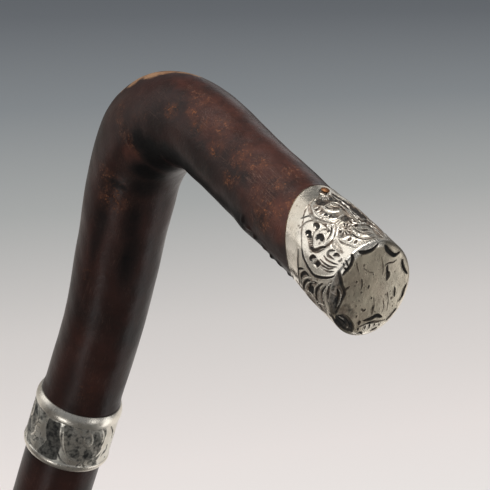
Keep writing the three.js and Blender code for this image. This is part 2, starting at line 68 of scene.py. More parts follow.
# Engraving. A cut is (width, depth, tarnish, line), a ridge (width, height, line) and a
# ground (depth, darkness, outline): a sunk ground is darkened by tarnish, and where its depth
# is 0 it is a soft tone, painted shade on the sleeve and tarnish on the collar.
# Points are (degrees round, reach) on the sleeve, (across, up) on the face and
# (degrees round, height) on the collar. A speck on the face is a short cut from one point
# to another, and a stain is a soft spot of painted shade: (middle, half sizes, darkness).
# The points were picked by hand on the photograph. A separate program then projected them
# onto the silver and rounded them, so these numbers weren't typed by hand.
sleeve_cuts = [
    (0.23, 0.1, 0.55, [(67, 69.3), (60, 70.2), (52, 70.8), (45, 71.8), (39, 73.1), (33, 74.3),
     (26, 75.8), (19, 77.5), (14, 78.6), (10, 79.6)]),
    (0.52, 0.34, 1, [(14, 78.5), (10, 79.6), (6, 80.9), (3, 82.6), (1, 84.2), (0, 86),
     (3, 87.8), (7, 89.4), (12, 91), (17, 92), (21, 92.1)]),
    (0.23, 0.14, 0.7, [(38, 72.1), (42, 72.8), (46, 73.3), (48, 74.1)]),
    (0.24, 0.16, 0.7, [(29, 74), (33, 74.3), (38, 74.4), (42, 74.7), (46, 75.5), (48, 76.7)]),
    (0.4, 0.28, 0.9, [(81, 80.1), (79, 81.5), (79, 83.1), (85, 83.7), (96, 83.6)]),
    (0.37, 0.26, 0.85, [(91, 79.3), (90, 81.1), (94, 82), (104, 81.8)]),
    (0.52, 0.3, 0.95, [(75, 83.4), (79, 83.8), (84, 83.8), (93, 83.8), (100, 84.3),
     (99, 85.9)]),
    (0.4, 0.26, 0.85, [(76, 84.4), (76, 85.9), (80, 87.1), (89, 87.1)]),
    (0.61, 0.3, 0.95, [(81, 85.5), (84, 85.9), (90, 85.9)]),
    (0.34, 0.24, 0.9, [(68, 85.7), (69, 87.8), (74, 89.1), (81, 89.5), (90, 89.2)]),
    (0.4, 0.24, 0.8, [(62, 83.6), (60, 83.6), (60, 82.9)]),
    (0.27, 0.2, 0.6, [(68, 82), (70, 82.8), (69, 84)]),
    (0.58, 0.28, 0.85, [(63, 86.9), (58, 87.4)]),
    (0.58, 0.28, 0.85, [(66, 88.5), (61, 89.1)]),
    (0.27, 0.16, 0.5, [(51, 85.2), (51, 86.6), (53, 87.9), (55, 88.9), (57, 90.1), (60, 90.8)]),
    (0.26, 0.16, 0.45, [(63, 79.9), (60, 81.3), (55, 82.7), (49, 83.8), (43, 84.3)]),
    (0.55, 0.3, 0.8, [(46, 84.2), (41, 84.5), (36, 84.4), (32, 84.1)]),
    (0.27, 0.2, 0.6, [(21, 80.6), (20, 81.6), (22, 82.9), (25, 83.7), (31, 84.4)]),
    (0.76, 0.34, 0.95, [(42, 77), (45, 76.8), (46, 77.5), (44, 78.3), (40, 78.4)]),
    (0.52, 0.3, 0.9, [(51, 78.5), (53, 78.7), (52, 79.5)]),
    (0.34, 0.2, 0.6, [(52, 79.4), (51, 80.7), (51, 81.8)]),
    (0.3, 0.22, 0.85, [(56, 80.5), (54, 81.4), (50, 82.2), (46, 82.7), (41, 83.1)]),
    (0.21, 0.14, 0.5, [(40, 78.4), (37, 78.6), (33, 79.2), (30, 79.9)]),
    (0.21, 0.14, 0.6, [(41, 79.6), (46, 79.7), (49, 80.3), (50, 81.5)]),
    (1.07, 0.36, 1, [(34, 80.6), (38, 80.6), (39, 81.2), (37, 82.3)]),
    (0.24, 0.14, 0.5, [(33, 80.1), (38, 79.9), (42, 80.7), (40, 82.2), (36, 83.1)]),
    (0.43, 0.24, 0.8, [(45, 81.3), (46, 81.5)]),
    (0.46, 0.22, 0.6, [(49, 80.7), (50, 81.6)]),
    (0.46, 0.24, 0.8, [(39, 87.2), (37, 86.6), (34, 86.1), (30, 86.4), (30, 87.5), (31, 88.8)]),
    (0.67, 0.28, 0.9, [(34, 87.9), (37, 88.5), (38, 89.4)]),
    (0.4, 0.22, 0.7, [(38, 90.5), (35, 90.7), (33, 90.3)]),
    (0.26, 0.2, 0.85, [(26, 85.7), (25, 87.3), (27, 89.3), (30, 90.9)]),
    (0.26, 0.2, 0.9, [(20, 85.4), (20, 87.2), (22, 89.3), (27, 91.1)]),
    (0.26, 0.2, 0.85, [(16, 86.1), (17, 87.7), (19, 89.4), (23, 90.5)]),
    (0.26, 0.18, 0.7, [(14, 88), (16, 89.7), (21, 91.2)]),
    (0.76, 0.34, 1, [(11, 83.2), (13, 82.7), (16, 82.9), (18, 84)]),
    (0.3, 0.22, 1, [(-7, 92.3), (-3, 92.7), (-1, 93.6), (-3, 94.2), (-8, 93.5), (-9, 92.5)]),
    (0.34, 0.24, 1, [(-1, 94.4), (2, 95.5), (-1, 96.1), (-6, 95.2), (-5, 94.3)]),
    (0.46, 0.26, 1, [(3, 95.7), (0, 96.5), (-5, 96.4)]),
    (0.95, 0.36, 1, [(30, 77.1), (32, 77), (33, 77.5), (31, 78), (29, 77.9)]),
    (1.01, 0.3, 0.78, [(32, 78), (29, 79), (27, 79.7), (24, 80.6), (24, 81.5)]),
    (0.67, 0.34, 0.95, [(22, 80.8), (22, 81.9), (26, 82.9), (30, 83.4), (34, 84.1)]),
    (0.2, 0.16, 0.9, [(69, 82.4), (72, 81.3)]),
    (0.2, 0.16, 0.9, [(70, 82.8), (75, 81.8)]),
    (0.2, 0.16, 0.9, [(70, 83.2), (75, 82.9)]),
    (0.2, 0.16, 0.9, [(69, 83.7), (72, 84.2)]),
    (0.2, 0.16, 0.9, [(67, 84), (67, 85.1)]),
    (0.2, 0.16, 0.9, [(65, 84), (62, 85.3)]),
    (0.2, 0.16, 0.9, [(64, 83.7), (59, 84.6)]),
    (0.3, 0.2, 1, [(67, 83), (68, 83.3)]),
    (0.27, 0.24, 1, [(83, 81.1), (84, 82), (89, 82.6), (99, 82.3)]),
    (0.27, 0.24, 1, [(72, 85.4), (72, 86.7), (76, 87.6), (83, 88.1), (91, 87.6)]),
    (0.37, 0.26, 1, [(10, 77.5), (4, 78.3), (-2, 78.9), (-7, 79.4), (-13, 79.9), (-20, 80.1),
     (-27, 80.1), (-39, 79.8), (-53, 78.8)]),
    (0.4, 0.24, 1, [(-11, 79.7), (-7, 80.7), (-4, 81.8)]),
    (0.49, 0.34, 1, [(-35, 76.3), (-53, 74.8), (-53, 76.2), (-53, 77.5)]),
    (0.23, 0.22, 1, [(81, 67.5), (85, 66.6), (91, 66.2), (94, 66.8), (90, 68.1), (86, 69),
     (81, 69.1), (79, 68.4), (81, 67.5)]),
    (0.79, 0.26, 0.45, [(58, 70.4), (54, 71.7), (51, 73.1), (49, 75), (52, 77.1), (56, 78.8),
     (62, 79.8), (69, 79.8)]),
    (0.34, 0.26, 0.95, [(65, 72.8), (62, 73.1), (59, 73.4)]),
    (0.3, 0.26, 0.95, [(64, 74.2), (62, 74.4), (60, 74.6)]),
    (0.3, 0.26, 0.95, [(65, 75.8), (63, 76.1), (60, 76.4)]),
    (0.34, 0.26, 0.95, [(68, 77.1), (65, 77.3), (63, 77.7)]),
    (0.3, 0.22, 0.85, [(70, 73.6), (71, 74.5), (74, 75.3), (80, 75.7), (84, 75.7)]),
    (0.52, 0.28, 0.95, [(75, 74.3), (77, 74.8), (81, 75.4), (84, 75.8)]),
    (0.24, 0.2, 0.9, [(83, 72.5), (89, 72.9), (92, 74.2), (93, 76.1), (93, 78.2)]),
    (0.34, 0.22, 0.85, [(84, 73.9), (86, 75.1), (86, 76.8), (86, 78.3)]),
    (0.21, 0.16, 0.9, [(95, 72.8), (97, 75.7), (97, 78.9)]),
    (0.21, 0.16, 0.9, [(106, 72.2), (108, 75), (109, 77.9)]),
    (0.24, 0.22, 0.95, [(84, 79.9), (85, 81.1), (84, 82.5)]),
    (0.24, 0.22, 0.95, [(90, 80.4), (92, 81.7), (96, 82.4)]),
    (0.24, 0.22, 0.95, [(76, 83.2), (81, 83.5), (88, 83.5)]),
    (0.76, 0.36, 1, [(-20, 81.4), (-15, 81.4), (-9, 82.2), (-6, 83.1), (-6, 84.3)]),
    (0.61, 0.34, 1, [(-35, 82), (-25, 82.6), (-18, 83.3), (-12, 84.3), (-10, 85.4)]),
    (0.52, 0.32, 1, [(-20, 84.9), (-11, 85.8), (-8, 86.6), (-5, 87.7)]),
    (0.7, 0.34, 1, [(-38, 88.4), (-25, 88.2), (-15, 88.2), (-7, 88.7), (0, 89.7)]),
    (0.49, 0.3, 1, [(-18, 90.9), (-12, 90.4), (-6, 90.6), (1, 91.2)]),
    (0.4, 0.3, 1, [(-31, 91.9), (-23, 91.5), (-19, 91.3)]),
    (0.61, 0.4, 1, [(-37, 77.7), (-39, 79), (-38, 80.9), (-35, 82.6)]),
    (0.79, 0.4, 1, [(-39, 82.8), (-41, 84.2), (-41, 85.8), (-41, 86.7)]),
    (0.52, 0.38, 1, [(-33, 89.5), (-36, 89.9), (-38, 90.7)]),
    (0.49, 0.38, 1, [(-31, 93.5), (-33, 94), (-34, 94.6)]),
    (0.34, 0.3, 0.9, [(-26, 87.4), (-26, 88.6), (-28, 89)]),
    (0.3, 0.14, 0.95, [(98, 70.5), (103, 72.9), (103, 77.1)]),
    (0.22, 0.192, 0.9, [(39, 93.1), (34, 93.4), (30, 93.7), (26, 94.1)]),
    (0.25, 0.208, 0.9, [(34, 91.4), (34, 92.6), (31, 92.9)]),
    (0.25, 0.208, 0.9, [(40, 91.9), (40, 93.1), (36, 93.7)]),
]
sleeve_ridges = [
    (0.52, 0.2, [(83, 80.5), (81, 81.7), (83, 82.7), (90, 83.1), (100, 82.8)]),
    (0.4, 0.18, [(94, 79), (94, 80.2), (99, 80.9), (107, 80.7)]),
    (0.43, 0.18, [(74, 84.2), (72, 85.8), (75, 87.6), (83, 88.5), (91, 88)]),
    (0.27, 0.14, [(79, 84.4), (85, 84.5), (93, 84.8), (94, 85.9)]),
    (0.91, 0.14, [(51, 85.1), (57, 85.9), (63, 86.2), (66, 87.5), (70, 89.1)]),
    (0.52, 0.16, [(57, 79.9), (56, 81.4), (51, 82.9), (44, 83.6), (38, 83.7), (33, 83.3)]),
    (0.34, 0.16, [(4, 91.7), (8, 92.2), (10, 93.1)]),
    (0.24, 0.12, [(4, 92.6), (6, 93.6), (9, 94.2)]),
    (0.3, 0.14, [(-13, 92.7), (-13, 93.3), (-12, 94)]),
    (0.21, 0.12, [(-10, 94), (-7, 95.3), (-6, 96.3), (-9, 96.7)]),
    (0.18, 0.1, [(12, 92.6), (14, 93.6), (13, 94.6)]),
    (0.15, 0.08, [(28, 78.4), (31, 79.2)]),
    (0.15, 0.08, [(27, 78.9), (30, 79.6)]),
    (0.15, 0.08, [(25, 79.3), (28, 80.1)]),
    (0.15, 0.08, [(24, 79.9), (27, 80.7)]),
    (0.15, 0.08, [(23, 80.6), (27, 81.3)]),
    (0.27, 0.14, [(68, 82.5), (69, 81.3)]),
    (0.27, 0.14, [(70, 82.6), (74, 81.4)]),
    (0.27, 0.14, [(70, 83), (76, 82.3)]),
    (0.27, 0.14, [(69, 83.5), (74, 83.6)]),
    (0.27, 0.14, [(68, 83.9), (70, 84.7)]),
    (0.27, 0.14, [(66, 84), (65, 85.3)]),
    (0.27, 0.14, [(64, 83.9), (61, 85)]),
    (0.27, 0.14, [(64, 83.4), (59, 84)]),
    (0.24, 0.12, [(65, 82.9), (61, 82.7)]),
    (0.24, 0.14, [(78, 83.6), (85, 83.5), (94, 83.4), (101, 83.8), (102, 85.2)]),
    (0.64, 0.18, [(57, 72.2), (54, 74), (54, 75.7), (58, 77.2), (63, 78.4), (70, 79)]),
    (0.34, 0.12, [(58, 72.3), (60, 72.7), (63, 72.7)]),
    (0.34, 0.12, [(57, 73.7), (59, 74), (62, 74)]),
    (0.34, 0.12, [(58, 75.3), (60, 75.7), (63, 75.5)]),
    (0.34, 0.12, [(62, 77), (64, 77), (66, 76.7)]),
    (0.49, 0.2, [(67, 73.4), (67, 74.3), (68, 75.2), (72, 76.3), (78, 76.7), (84, 76.5)]),
    (0.34, 0.12, [(76, 73.4), (78, 73.8), (80, 74.2)]),
    (0.34, 0.2, [(78, 72.8), (82, 73), (86, 73.4), (88, 74.7), (89, 76.6), (88, 78.6),
     (89, 80)]),
    (0.34, 0.12, [(72, 79.1), (76, 78.7), (80, 78.6)]),
    (0.34, 0.12, [(78, 69), (74, 70.1)]),
    (0.34, 0.12, [(80, 69.3), (75, 70.8)]),
    (0.34, 0.12, [(81, 69.5), (77, 71.1)]),
    (0.34, 0.12, [(84, 69.6), (79, 71.2)]),
    (0.34, 0.12, [(86, 69.5), (83, 71)]),
    (0.34, 0.14, [(79, 68.5), (80, 69.1), (83, 69.4), (89, 69.2)]),
    (0.37, 0.16, [(93, 69.8), (93, 70.8), (94, 72.2)]),
    (0.34, 0.08, [(106, 69.9), (109, 72.5), (113, 74.9)]),
    (0.34, 0.16, [(78, 81.1), (78, 82.3), (80, 83)]),
    (0.34, 0.16, [(84, 80.5), (83, 81.4), (84, 82.1)]),
    (0.34, 0.16, [(90, 81.3), (91, 82.2), (93, 82.8)]),
    (0.34, 0.14, [(93, 79.3), (95, 80), (96, 80.6)]),
    (0.38, 0.16, [(-23, 82), (-16, 82.6), (-11, 83.6), (-7, 84.7), (-5, 85.8)]),
    (0.38, 0.16, [(-31, 83.4), (-24, 83.6), (-17, 84.3), (-12, 85.2), (-8, 86.6)]),
    (0.43, 0.16, [(-24, 87.7), (-19, 87.3), (-12, 87.6), (-6, 88.3), (0, 89.3)]),
    (0.37, 0.16, [(-30, 90.4), (-19, 89.8), (-12, 89.6), (-6, 89.7), (0, 90.4)]),
    (0.4, 0.18, [(-43, 92.5), (-29, 92), (-18, 91.3), (-9, 91), (-1, 91.4), (6, 91.9)]),
    (0.4, 0.16, [(-29, 83.4), (-29, 85.2), (-28, 87.1), (-33, 88.3), (-29, 89.6)]),
    (0.46, 0.2, [(-29, 89.3), (-26, 91.2), (-27, 92.9), (-27, 94.5), (-34, 96.2)]),
    (0.34, 0.14, [(100, 69.1), (109, 70.5), (115, 73.3), (113, 77.5)]),
    (0.34, 0.14, [(96, 72.7), (96, 75.3), (93, 78.2)]),
    (0.34, 0.14, [(111, 79.7), (114, 82.2), (121, 85.1)]),
    (0.34, 0.12, [(105, 83.2), (108, 85.7), (110, 88.3)]),
    (0.34, 0.1, [(97, 76), (97, 79.1), (99, 81.8)]),
    (0.34, 0.1, [(91, 76.4), (92, 79), (91, 81.5)]),
    (0.34, 0.1, [(96, 71.6), (98, 73.8), (98, 76)]),
    (0.34, 0.1, [(103, 84.9), (103, 87.7), (103, 89.8)]),
]
sleeve_grounds = [
    (0.16, 0.38, [(67, 81.2), (75, 80.9), (77, 81.5), (73, 83.7), (69, 85.8), (62, 85.8),
     (56, 85.5), (53, 84.3), (59, 82.7)]),
    (0.06, 0.16, [(45, 84.3), (49, 84.8), (48, 86.6), (46, 88.5), (42, 89.6), (40, 88.5),
     (39, 86.6), (40, 85.3)]),
    (0.34, 1, [(10, 84.2), (17, 84.7), (17, 86.3), (10, 85.9)]),
    (0.16, 0.78, [(2, 91.6), (9, 91.8), (14, 92.6), (20, 92.7), (26, 92.8), (24, 94.2),
     (15, 96.1), (9, 97.7), (0, 97.9), (-11, 97.4), (-23, 96.6), (-28, 95.4), (-23, 94.2),
     (-16, 92.8), (-10, 91.9), (-2, 91.8)]),
    (0.2, 0.85, [(73, 79), (79, 78.8), (85, 79.4), (85, 80.6), (78, 81.2), (72, 80.7)]),
    (0.22, 0.9, [(66, 70.1), (73, 69.5), (79, 68.2), (84, 69.1), (91, 69.2), (87, 71.9),
     (81, 72.7), (76, 72.8), (70, 73.1), (66, 72.4), (64, 71.4)]),
    (0.1, 0.97, [(98, 67.8), (101, 70.2), (105, 73.4), (113, 75.9), (116, 79), (99, 83),
     (98, 81.3), (94, 79.1), (92, 78.1), (91, 74.9), (91, 72.9), (89, 71)]),
    (0.1, 0.6, [(114, 79), (114, 82.8), (112, 85.8), (102, 89.5), (95, 89.1), (96, 86.2),
     (94, 83.9)]),
    # The grounds of depth 0 below are painted shade on the sleeve's top, far side and underside
    (0, 0.62, [(60, 71.1), (66, 71.9), (66, 73.8), (66, 75.5), (71, 76.9), (80, 77.3),
     (88, 77.2), (83, 78.4), (74, 78.7), (69, 79), (64, 77.9), (60, 76.5), (57, 74.6),
     (55, 73)]),
    (0, 0.5, [(90, 75.5), (93, 78.7), (98, 81.3), (96, 83.3), (81, 83.4), (79, 81.5),
     (78, 79.7), (78, 78)]),
    (0, 0.35, [(-14, 80.3), (-3, 84.2), (-7, 86.6), (1, 89.8), (4, 91.5), (-9, 91.1),
     (-23, 92.3), (-53, 92.7), (-40, 91.3), (-53, 85.5), (-40, 83.2), (-32, 80.8)]),
    (0.2, 1, [(-21, 84.4), (-16, 85.2), (-13, 86.7), (-19, 87.2), (-28, 86.3), (-33, 84.8),
     (-28, 84.3)]),
    (0, 0.42, [(125, 66.6), (125, 72), (125, 77.1), (125, 82.9), (120, 88.2), (94, 90),
     (95, 86.2), (93, 83.2), (89, 80.8), (92, 77)]),
    (0, 0.6, [(69, 69.3), (77, 69.1), (82, 71.1), (93, 72.3), (92, 75.4), (84, 75.6),
     (83, 73.1), (75, 72), (65, 72.1)]),
]
face_cuts = [
    (0.43, 0.3, 0.95, [(14.9, 0.6), (14.7, -0.7), (13.6, -2.7), (11.9, -5), (10, -7),
     (7.9, -8.7), (5.5, -10), (3.3, -10.7)]),
    (0.61, 0.3, 0.95, [(11.4, 6.2), (10.9, 4.7), (10.2, 3.1), (9.5, 1.6), (8.6, 0.4),
     (8.4, -0.8), (8.7, -1.9), (9.1, -3.1), (9.4, -4.4), (9.8, -5.6)]),
    (0.46, 0.26, 0.95, [(8.6, 0.1), (7.9, 0.8), (7.3, 1.3)]),
    (0.3, 0.2, 0.8, [(10.8, 0.9), (10.1, -0.8), (10.1, -2.7)]),
    (0.4, 0.22, 0.9, [(5.4, 2.6), (5.3, 2.2)]),
    (0.26, 0.16, 0.8, [(3.9, 3.1), (3.5, 1.6), (3.6, 0.3)]),
    (0.4, 0.2, 0.8, [(3.3, -0.2), (3.2, -0.6)]),
    (0.34, 0.18, 0.8, [(1.2, 1.4), (1.4, 0.4)]),
    (0.4, 0.2, 0.85, [(-0.3, -1.9), (-0.4, -2.3)]),
    (0.37, 0.2, 0.85, [(4, -3.7), (3.9, -4)]),
    (0.34, 0.2, 0.85, [(2.1, -4.8), (1.5, -5.3), (0.9, -5.2), (0.8, -4.9)]),
    (0.4, 0.22, 0.9, [(3.2, -6.5), (3, -6.9)]),
    (0.24, 0.16, 0.7, [(-1.4, -4.1), (-1.5, -5.3), (-1.7, -6.5)]),
    (0.4, 0.2, 0.9, [(1.6, -8.1), (1.6, -8.9)]),
    (0.21, 0.14, 0.7, [(1.2, -9.6), (-0.4, -9), (-2.6, -8.8), (-4.6, -8.8)]),
    (0.37, 0.24, 1, [(10.8, 0.9), (10, -0.8), (10, -2.7), (9.9, -4.3)]),
    (0.25, 0.208, 1, [(10.8, 7.6), (10, 6.9), (10.1, 6.3)]),
    (0.25, 0.208, 1, [(10, 8), (9.3, 7.5), (8.9, 6.6)]),
    (0.29, 0.208, 1, [(9.9, 6.2), (9, 5.7), (8.3, 6.1)]),
    (0.27, 0.2, 1, [(9.2, -6.5), (7.9, -7.1), (6.5, -8), (5.2, -9.3)]),
    (0.27, 0.2, 1, [(9.5, -6.9), (8.3, -7.8), (7.1, -8.8), (6.2, -9.5)]),
    (0.21, 0.18, 1, [(7.3, -6.5), (5.9, -7.4), (4.8, -8.6), (4.2, -9.7)]),
    (0.21, 0.16, 0.8, [(13.7, -0.9), (12.3, -1.6), (11.1, -1.5)]),
    (0.21, 0.16, 0.8, [(13.8, 1.1), (12.4, 0.7), (11.6, 0.8)]),
    (0.15, 0.08, 0.7, [(6.6, 8.7), (6.5, 8.5)]),
    (0.11, 0.05, 0.45, [(6, 7.3), (6.2, 6.3), (5.3, 5.1)]),
    (0.11, 0.05, 0.45, [(-1, 8.5), (-1.9, 6.6), (-2.3, 4.6)]),
    (0.11, 0.05, 0.45, [(-1.1, -2), (-1.8, -4.3), (-2, -6.1)]),
    (0.11, 0.05, 0.4, [(-4, -2.2), (-5, -4.6), (-4.9, -6.3)]),
    (0.11, 0.05, 0.4, [(-5.4, -1.1), (-6.1, -3.5), (-6.4, -5.9)]),
    (0.11, 0.05, 0.4, [(4, 5.9), (2.3, 4.8), (0.5, 4.5)]),
    (0.75, 0.4, 1, [(6.2, 10), (4.3, 9.8), (2.5, 10.2), (1.4, 10.9), (0.6, 11.7)]),
    (0.8, 0.4, 1, [(-1.6, 11.2), (-2.8, 9.9), (-4.2, 8.9), (-5.5, 8.5), (-6.8, 9.1)]),
    (0.55, 0.34, 1, [(-8.1, 7.1), (-8.6, 5.8), (-9.5, 4.4), (-10.8, 3.2)]),
    (0.45, 0.3, 0.9, [(-11.3, 0.6), (-10.8, -0.6), (-10.5, -2.6), (-9.8, -3.8)]),
    (0.4, 0.3, 0.9, [(-9.6, -5.7), (-8.7, -6.8), (-7.8, -7.8), (-6.9, -8.7)]),
    (0.7, 0.36, 0.95, [(-5.1, -7.5), (-3.3, -7), (-1.8, -7.6), (-0.3, -7.9), (0.7, -8)]),
    (0.4, 0.3, 0.95, [(0, -11.5), (1, -11.2), (1.5, -11.5)]),
    (0.35, 0.28, 0.85, [(-4.4, -10.3), (-3.4, -10.7), (-2.4, -11.1)]),
    (0.75, 0.36, 1, [(8.3, 9.6), (7.8, 8.7), (8, 7.2), (8.5, 6.2), (10, 4.4)]),
    (0.9, 0.36, 0.95, [(-3.9, 4.4), (-4.4, 3.3), (-4.3, 2.3)]),
    (0.4, 0.24, 0.9, [(-3.5, 6.1), (-3.7, 4.9), (-4.2, 3.8)]),
    (0.2, 0.14, 0.7, [(-2.7, 6), (-3.4, 6.5), (-4.6, 6.7), (-5.3, 6.7), (-6.3, 7.2)]),
    (0.4, 0.2, 0.85, [(-7.4, 0), (-7.6, -1.2), (-7.9, -2.4)]),
    (0.2, 0.1, 0.5, [(6.6, 7.4), (5.9, 6), (5.3, 5.2)]),
    (0.2, 0.08, 0.35, [(-1.6, 7.2), (-2.3, 5.4), (-2.5, 3.7)]),
    (0.2, 0.1, 0.4, [(-5.2, -1), (-5.6, -2.5)]),
    (0.7, 0.3, 0.95, [(1.8, -8), (1.8, -9)]),
    (0.2, 0.16, 0.8, [(1.7, -9.6), (-0.5, -8.9), (-2.6, -8.5), (-4.7, -8.6), (-6.4, -8.4)]),
    (0.3, 0.2, 0.8, [(-0.4, -9.5), (-0.4, -10.4)]),
    (0.3, 0.2, 0.8, [(-1.7, -9.2), (-1.7, -10.3)]),
    (0.25, 0.2, 0.8, [(-3.3, -9.1), (-3.2, -9.8)]),
    (0.25, 0.2, 0.8, [(-4.9, -9.3), (-4.8, -9.9)]),
    (0.3, 0.2, 0.8, [(1.9, -9.8), (1.6, -10.5)]),
    (0.3, 0.2, 0.6, [(0.9, 13.1), (0.5, 12.6)]),
]
face_specks = [
    (8.7, 5.4, 8.5, 5.1), (5.7, 1.6, 5.5, 1.3), (2.7, 0.9, 2.5, 0.7), (0.6, 4.2, 0.4, 3.9),
    (-0.1, 2.4, -0.3, 2.2), (2.4, 5.2, 2.2, 4.9), (-2.4, 2.8, -2.6, 2.6),
    (-3.4, 0.5, -3.5, 0.2), (-4.7, -1.4, -4.9, -1.7), (-5.6, -2.6, -5.7, -2.9),
    (-6.1, -0.6, -6.3, -0.9), (-7.4, -3.6, -7.6, -3.9), (-2.7, -3.8, -2.8, -4.1),
    (-3.7, -5, -3.8, -5.3), (0.4, -3, 0.2, -3.2), (2.5, -1.7, 2.3, -1.9),
    (3.5, -2.4, 3.3, -2.7), (5.4, -2.6, 5.2, -2.8), (5.8, -3.7, 5.7, -3.9),
    (3.6, -5.6, 3.4, -5.9), (-2.4, -5.8, -2.6, -6.1), (-1.6, -6.9, -1.8, -7.2),
    (-7.9, -4.8, -8.1, -5.1), (-8.5, -1.4, -8.6, -1.7), (-7.6, 2.1, -7.7, 1.9),
    (-8.7, 0.6, -8.9, 0.3), (-6.3, 4.3, -6.5, 4), (5.3, 9.1, 5.1, 8.8), (2.9, 7.2, 2.7, 7),
    (1.7, 8.8, 1.5, 8.6),
]
face_ridges = [
    (0.27, 0.16, [(10.2, 0.7), (9.4, -0.5), (9.3, -2.1), (9.7, -3.7)]),
    (0.24, 0.2, [(8.8, -6.2), (7.2, -7.2), (5.9, -8.5), (4.9, -9.8)]),
    (0.3, 0.16, [(10.2, 0.7), (9.4, -0.5), (9.3, -2.1), (9.7, -3.6)]),
    (0.24, 0.16, [(10.4, 8), (9.7, 7.1), (9.4, 6.3)]),
    (0.18, 0.1, [(13.7, -1.7), (13.3, -2), (12.8, -2.1)]),
    (0.15, 0.08, [(14.1, 2.3), (13.1, 2.6), (12.4, 2.2)]),
    (0.15, 0.08, [(12.3, 0.1), (11.6, -0.3), (10.9, -0.5)]),
    (0.2, 0.14, [(10.1, 0.5), (9.3, -0.8), (9.3, -2.1), (9.6, -3.7)]),
    (0.18, 0.12, [(9, -6.1), (7.8, -6.7), (6.8, -7.3)]),
]
face_grounds = [
    (0.2, 0.95, [(9.8, -5.9), (7.4, -5.8), (5.2, -7), (3.4, -9.1), (3.3, -10.6), (5.7, -9.9),
     (7.9, -8.7), (9.4, -7.3)]),
    (0.12, 0.72, [(11.4, 6.2), (10.2, 3.1), (9.4, 1.6), (8.5, 0.4), (8.3, -0.8), (8.6, -2),
     (9.1, -3.3), (9.7, -5.6), (10.5, -5.9), (12.1, -4.1), (14.6, -0.1), (14.5, 2.4),
     (12.9, 3.9), (12.1, 5.4)]),
    (0.12, 0.72, [(13.2, -1.2), (11.6, -1.6), (10.1, -2.7), (9.8, -5.3), (10.5, -5.9),
     (11.9, -4.5)]),
]
# Painted shade: soft dark spots where the face lies in shade, darkest at its lower left
face_shade_spots = [
    ((7.2, -5.6), (4.6, 4.4), 0.6),
    ((8.6, 0.2), (3.2, 5.5), 0.3),
    ((5.2, -9), (4, 2.5), 0.1),
]
collar_cuts = [
    (0.3, 0.1, 0.5, [(-20, 771.5), (7, 772.5)]),
    (0.3, 0.1, 0.5, [(-20, 770.1), (6, 771)]),
    (0.3, 0.1, 0.5, [(-19, 768.5), (6, 769.4)]),
    (0.3, 0.1, 0.5, [(-17, 767), (5, 767.7)]),
    (0.3, 0.1, 0.5, [(-14, 765.6), (4, 766.1)]),
    (0.3, 0.1, 0.4, [(-11, 764.2), (2, 764.4)]),
    (0.4, 0.12, 0.6, [(-5, 776.6), (5, 775.9), (13, 773.9)]),
    (0.3, 0.12, 0.6, [(39, 771), (41, 767.9), (48, 765.3), (59, 763.8)]),
    (0.5, 0.1, 0.6, [(74, 773.9), (78, 773.9), (81, 772.7), (77, 772.3)]),
    (0.3, 0.1, 0.55, [(54, 775.2), (63, 773.5), (63, 771), (58, 771.1)]),
    (0.3, 0.1, 0.5, [(64, 775), (69, 773), (69, 770.9)]),
    (0.3, 0.12, 0.6, [(82, 766.6), (80, 764.5), (88, 762.5)]),
    (0.3, 0.12, 0.6, [(69, 762.6), (74, 764.5), (77, 765.6)]),
    (0.3, 0.12, 0.6, [(95, 776.8), (103, 774.5), (104, 772.3)]),
    (0.3, 0.12, 0.6, [(111, 776.5), (122, 773.5), (124, 771.2)]),
    (0.35, 0.12, 0.6, [(114, 768), (108, 766.2)]),
    (0.3, 0.1, 0.5, [(100, 769.7), (103, 770.9), (104, 772.3)]),
    (0.3, 0.1, 0.5, [(116, 769.9), (116, 767.7), (111, 766.7)]),
]
collar_ridges = [
    (0.5, 0.05, [(42, 774.1), (45, 771.5), (49, 769), (57, 766), (64, 764.5)]),
    (0.6, 0.06, [(71, 774.5), (77, 775.4), (84, 773.2), (82, 771), (74, 771.7), (72, 773.8)]),
    (0.5, 0.06, [(54, 776.6), (63, 776), (66, 775.1)]),
    (0.5, 0.08, [(72, 763.3), (76, 764.5), (81, 763)]),
    (0.8, 0.08, [(102, 772.4), (105, 768.7), (98, 766.6)]),
]
collar_grounds = [
    (0, 0.9, [(17, 776.1), (28, 776.2), (36, 776.2), (39, 772.6), (45, 769.6), (44, 766.6),
     (44, 764.4), (32, 763.6), (17, 763.3), (14, 764.4), (19, 767.1), (22, 769.1), (18, 771.3),
     (16, 773.8)]),
    (0, 0.5, [(37, 775.4), (63, 777.8), (91, 777.7), (106, 769.3), (100, 765.3), (78, 765.3),
     (60, 765.8), (45, 769)]),
    (0, 0.75, [(40, 775.6), (44, 776.8), (52, 776.7), (55, 774.8), (52, 772.8), (44, 773.6)]),
    (0, 0.8, [(83, 776.1), (92, 775.5), (98, 772.7), (98, 769.8), (90, 770.9), (85, 773.5)]),
    (0, 0.8, [(56, 768.8), (65, 769.7), (72, 768.5), (71, 766.4), (62, 766.5)]),
    (0, 0.8, [(75, 769.2), (84, 769.9), (91, 768), (89, 765.8), (80, 766.4)]),
    (0, 0.5, [(83, 766), (97, 765.9), (103, 763.7), (91, 763.6)]),
    (0, 0.55, [(62, 778.5), (75, 778.8), (89, 778.1), (90, 776.6), (74, 777.1), (65, 777.2)]),
    (0, 0.4, [(-10, 774.9), (5, 777), (14, 776.2), (13, 773.9), (0, 773.6)]),
    (0, 0.45, [(11, 768.6), (21, 769.4), (20, 767.2), (13, 764.7), (5, 764.5)]),
    (0, 0.3, [(94, 777.6), (101, 776.6), (106, 774.3), (102, 773.9)]),
]

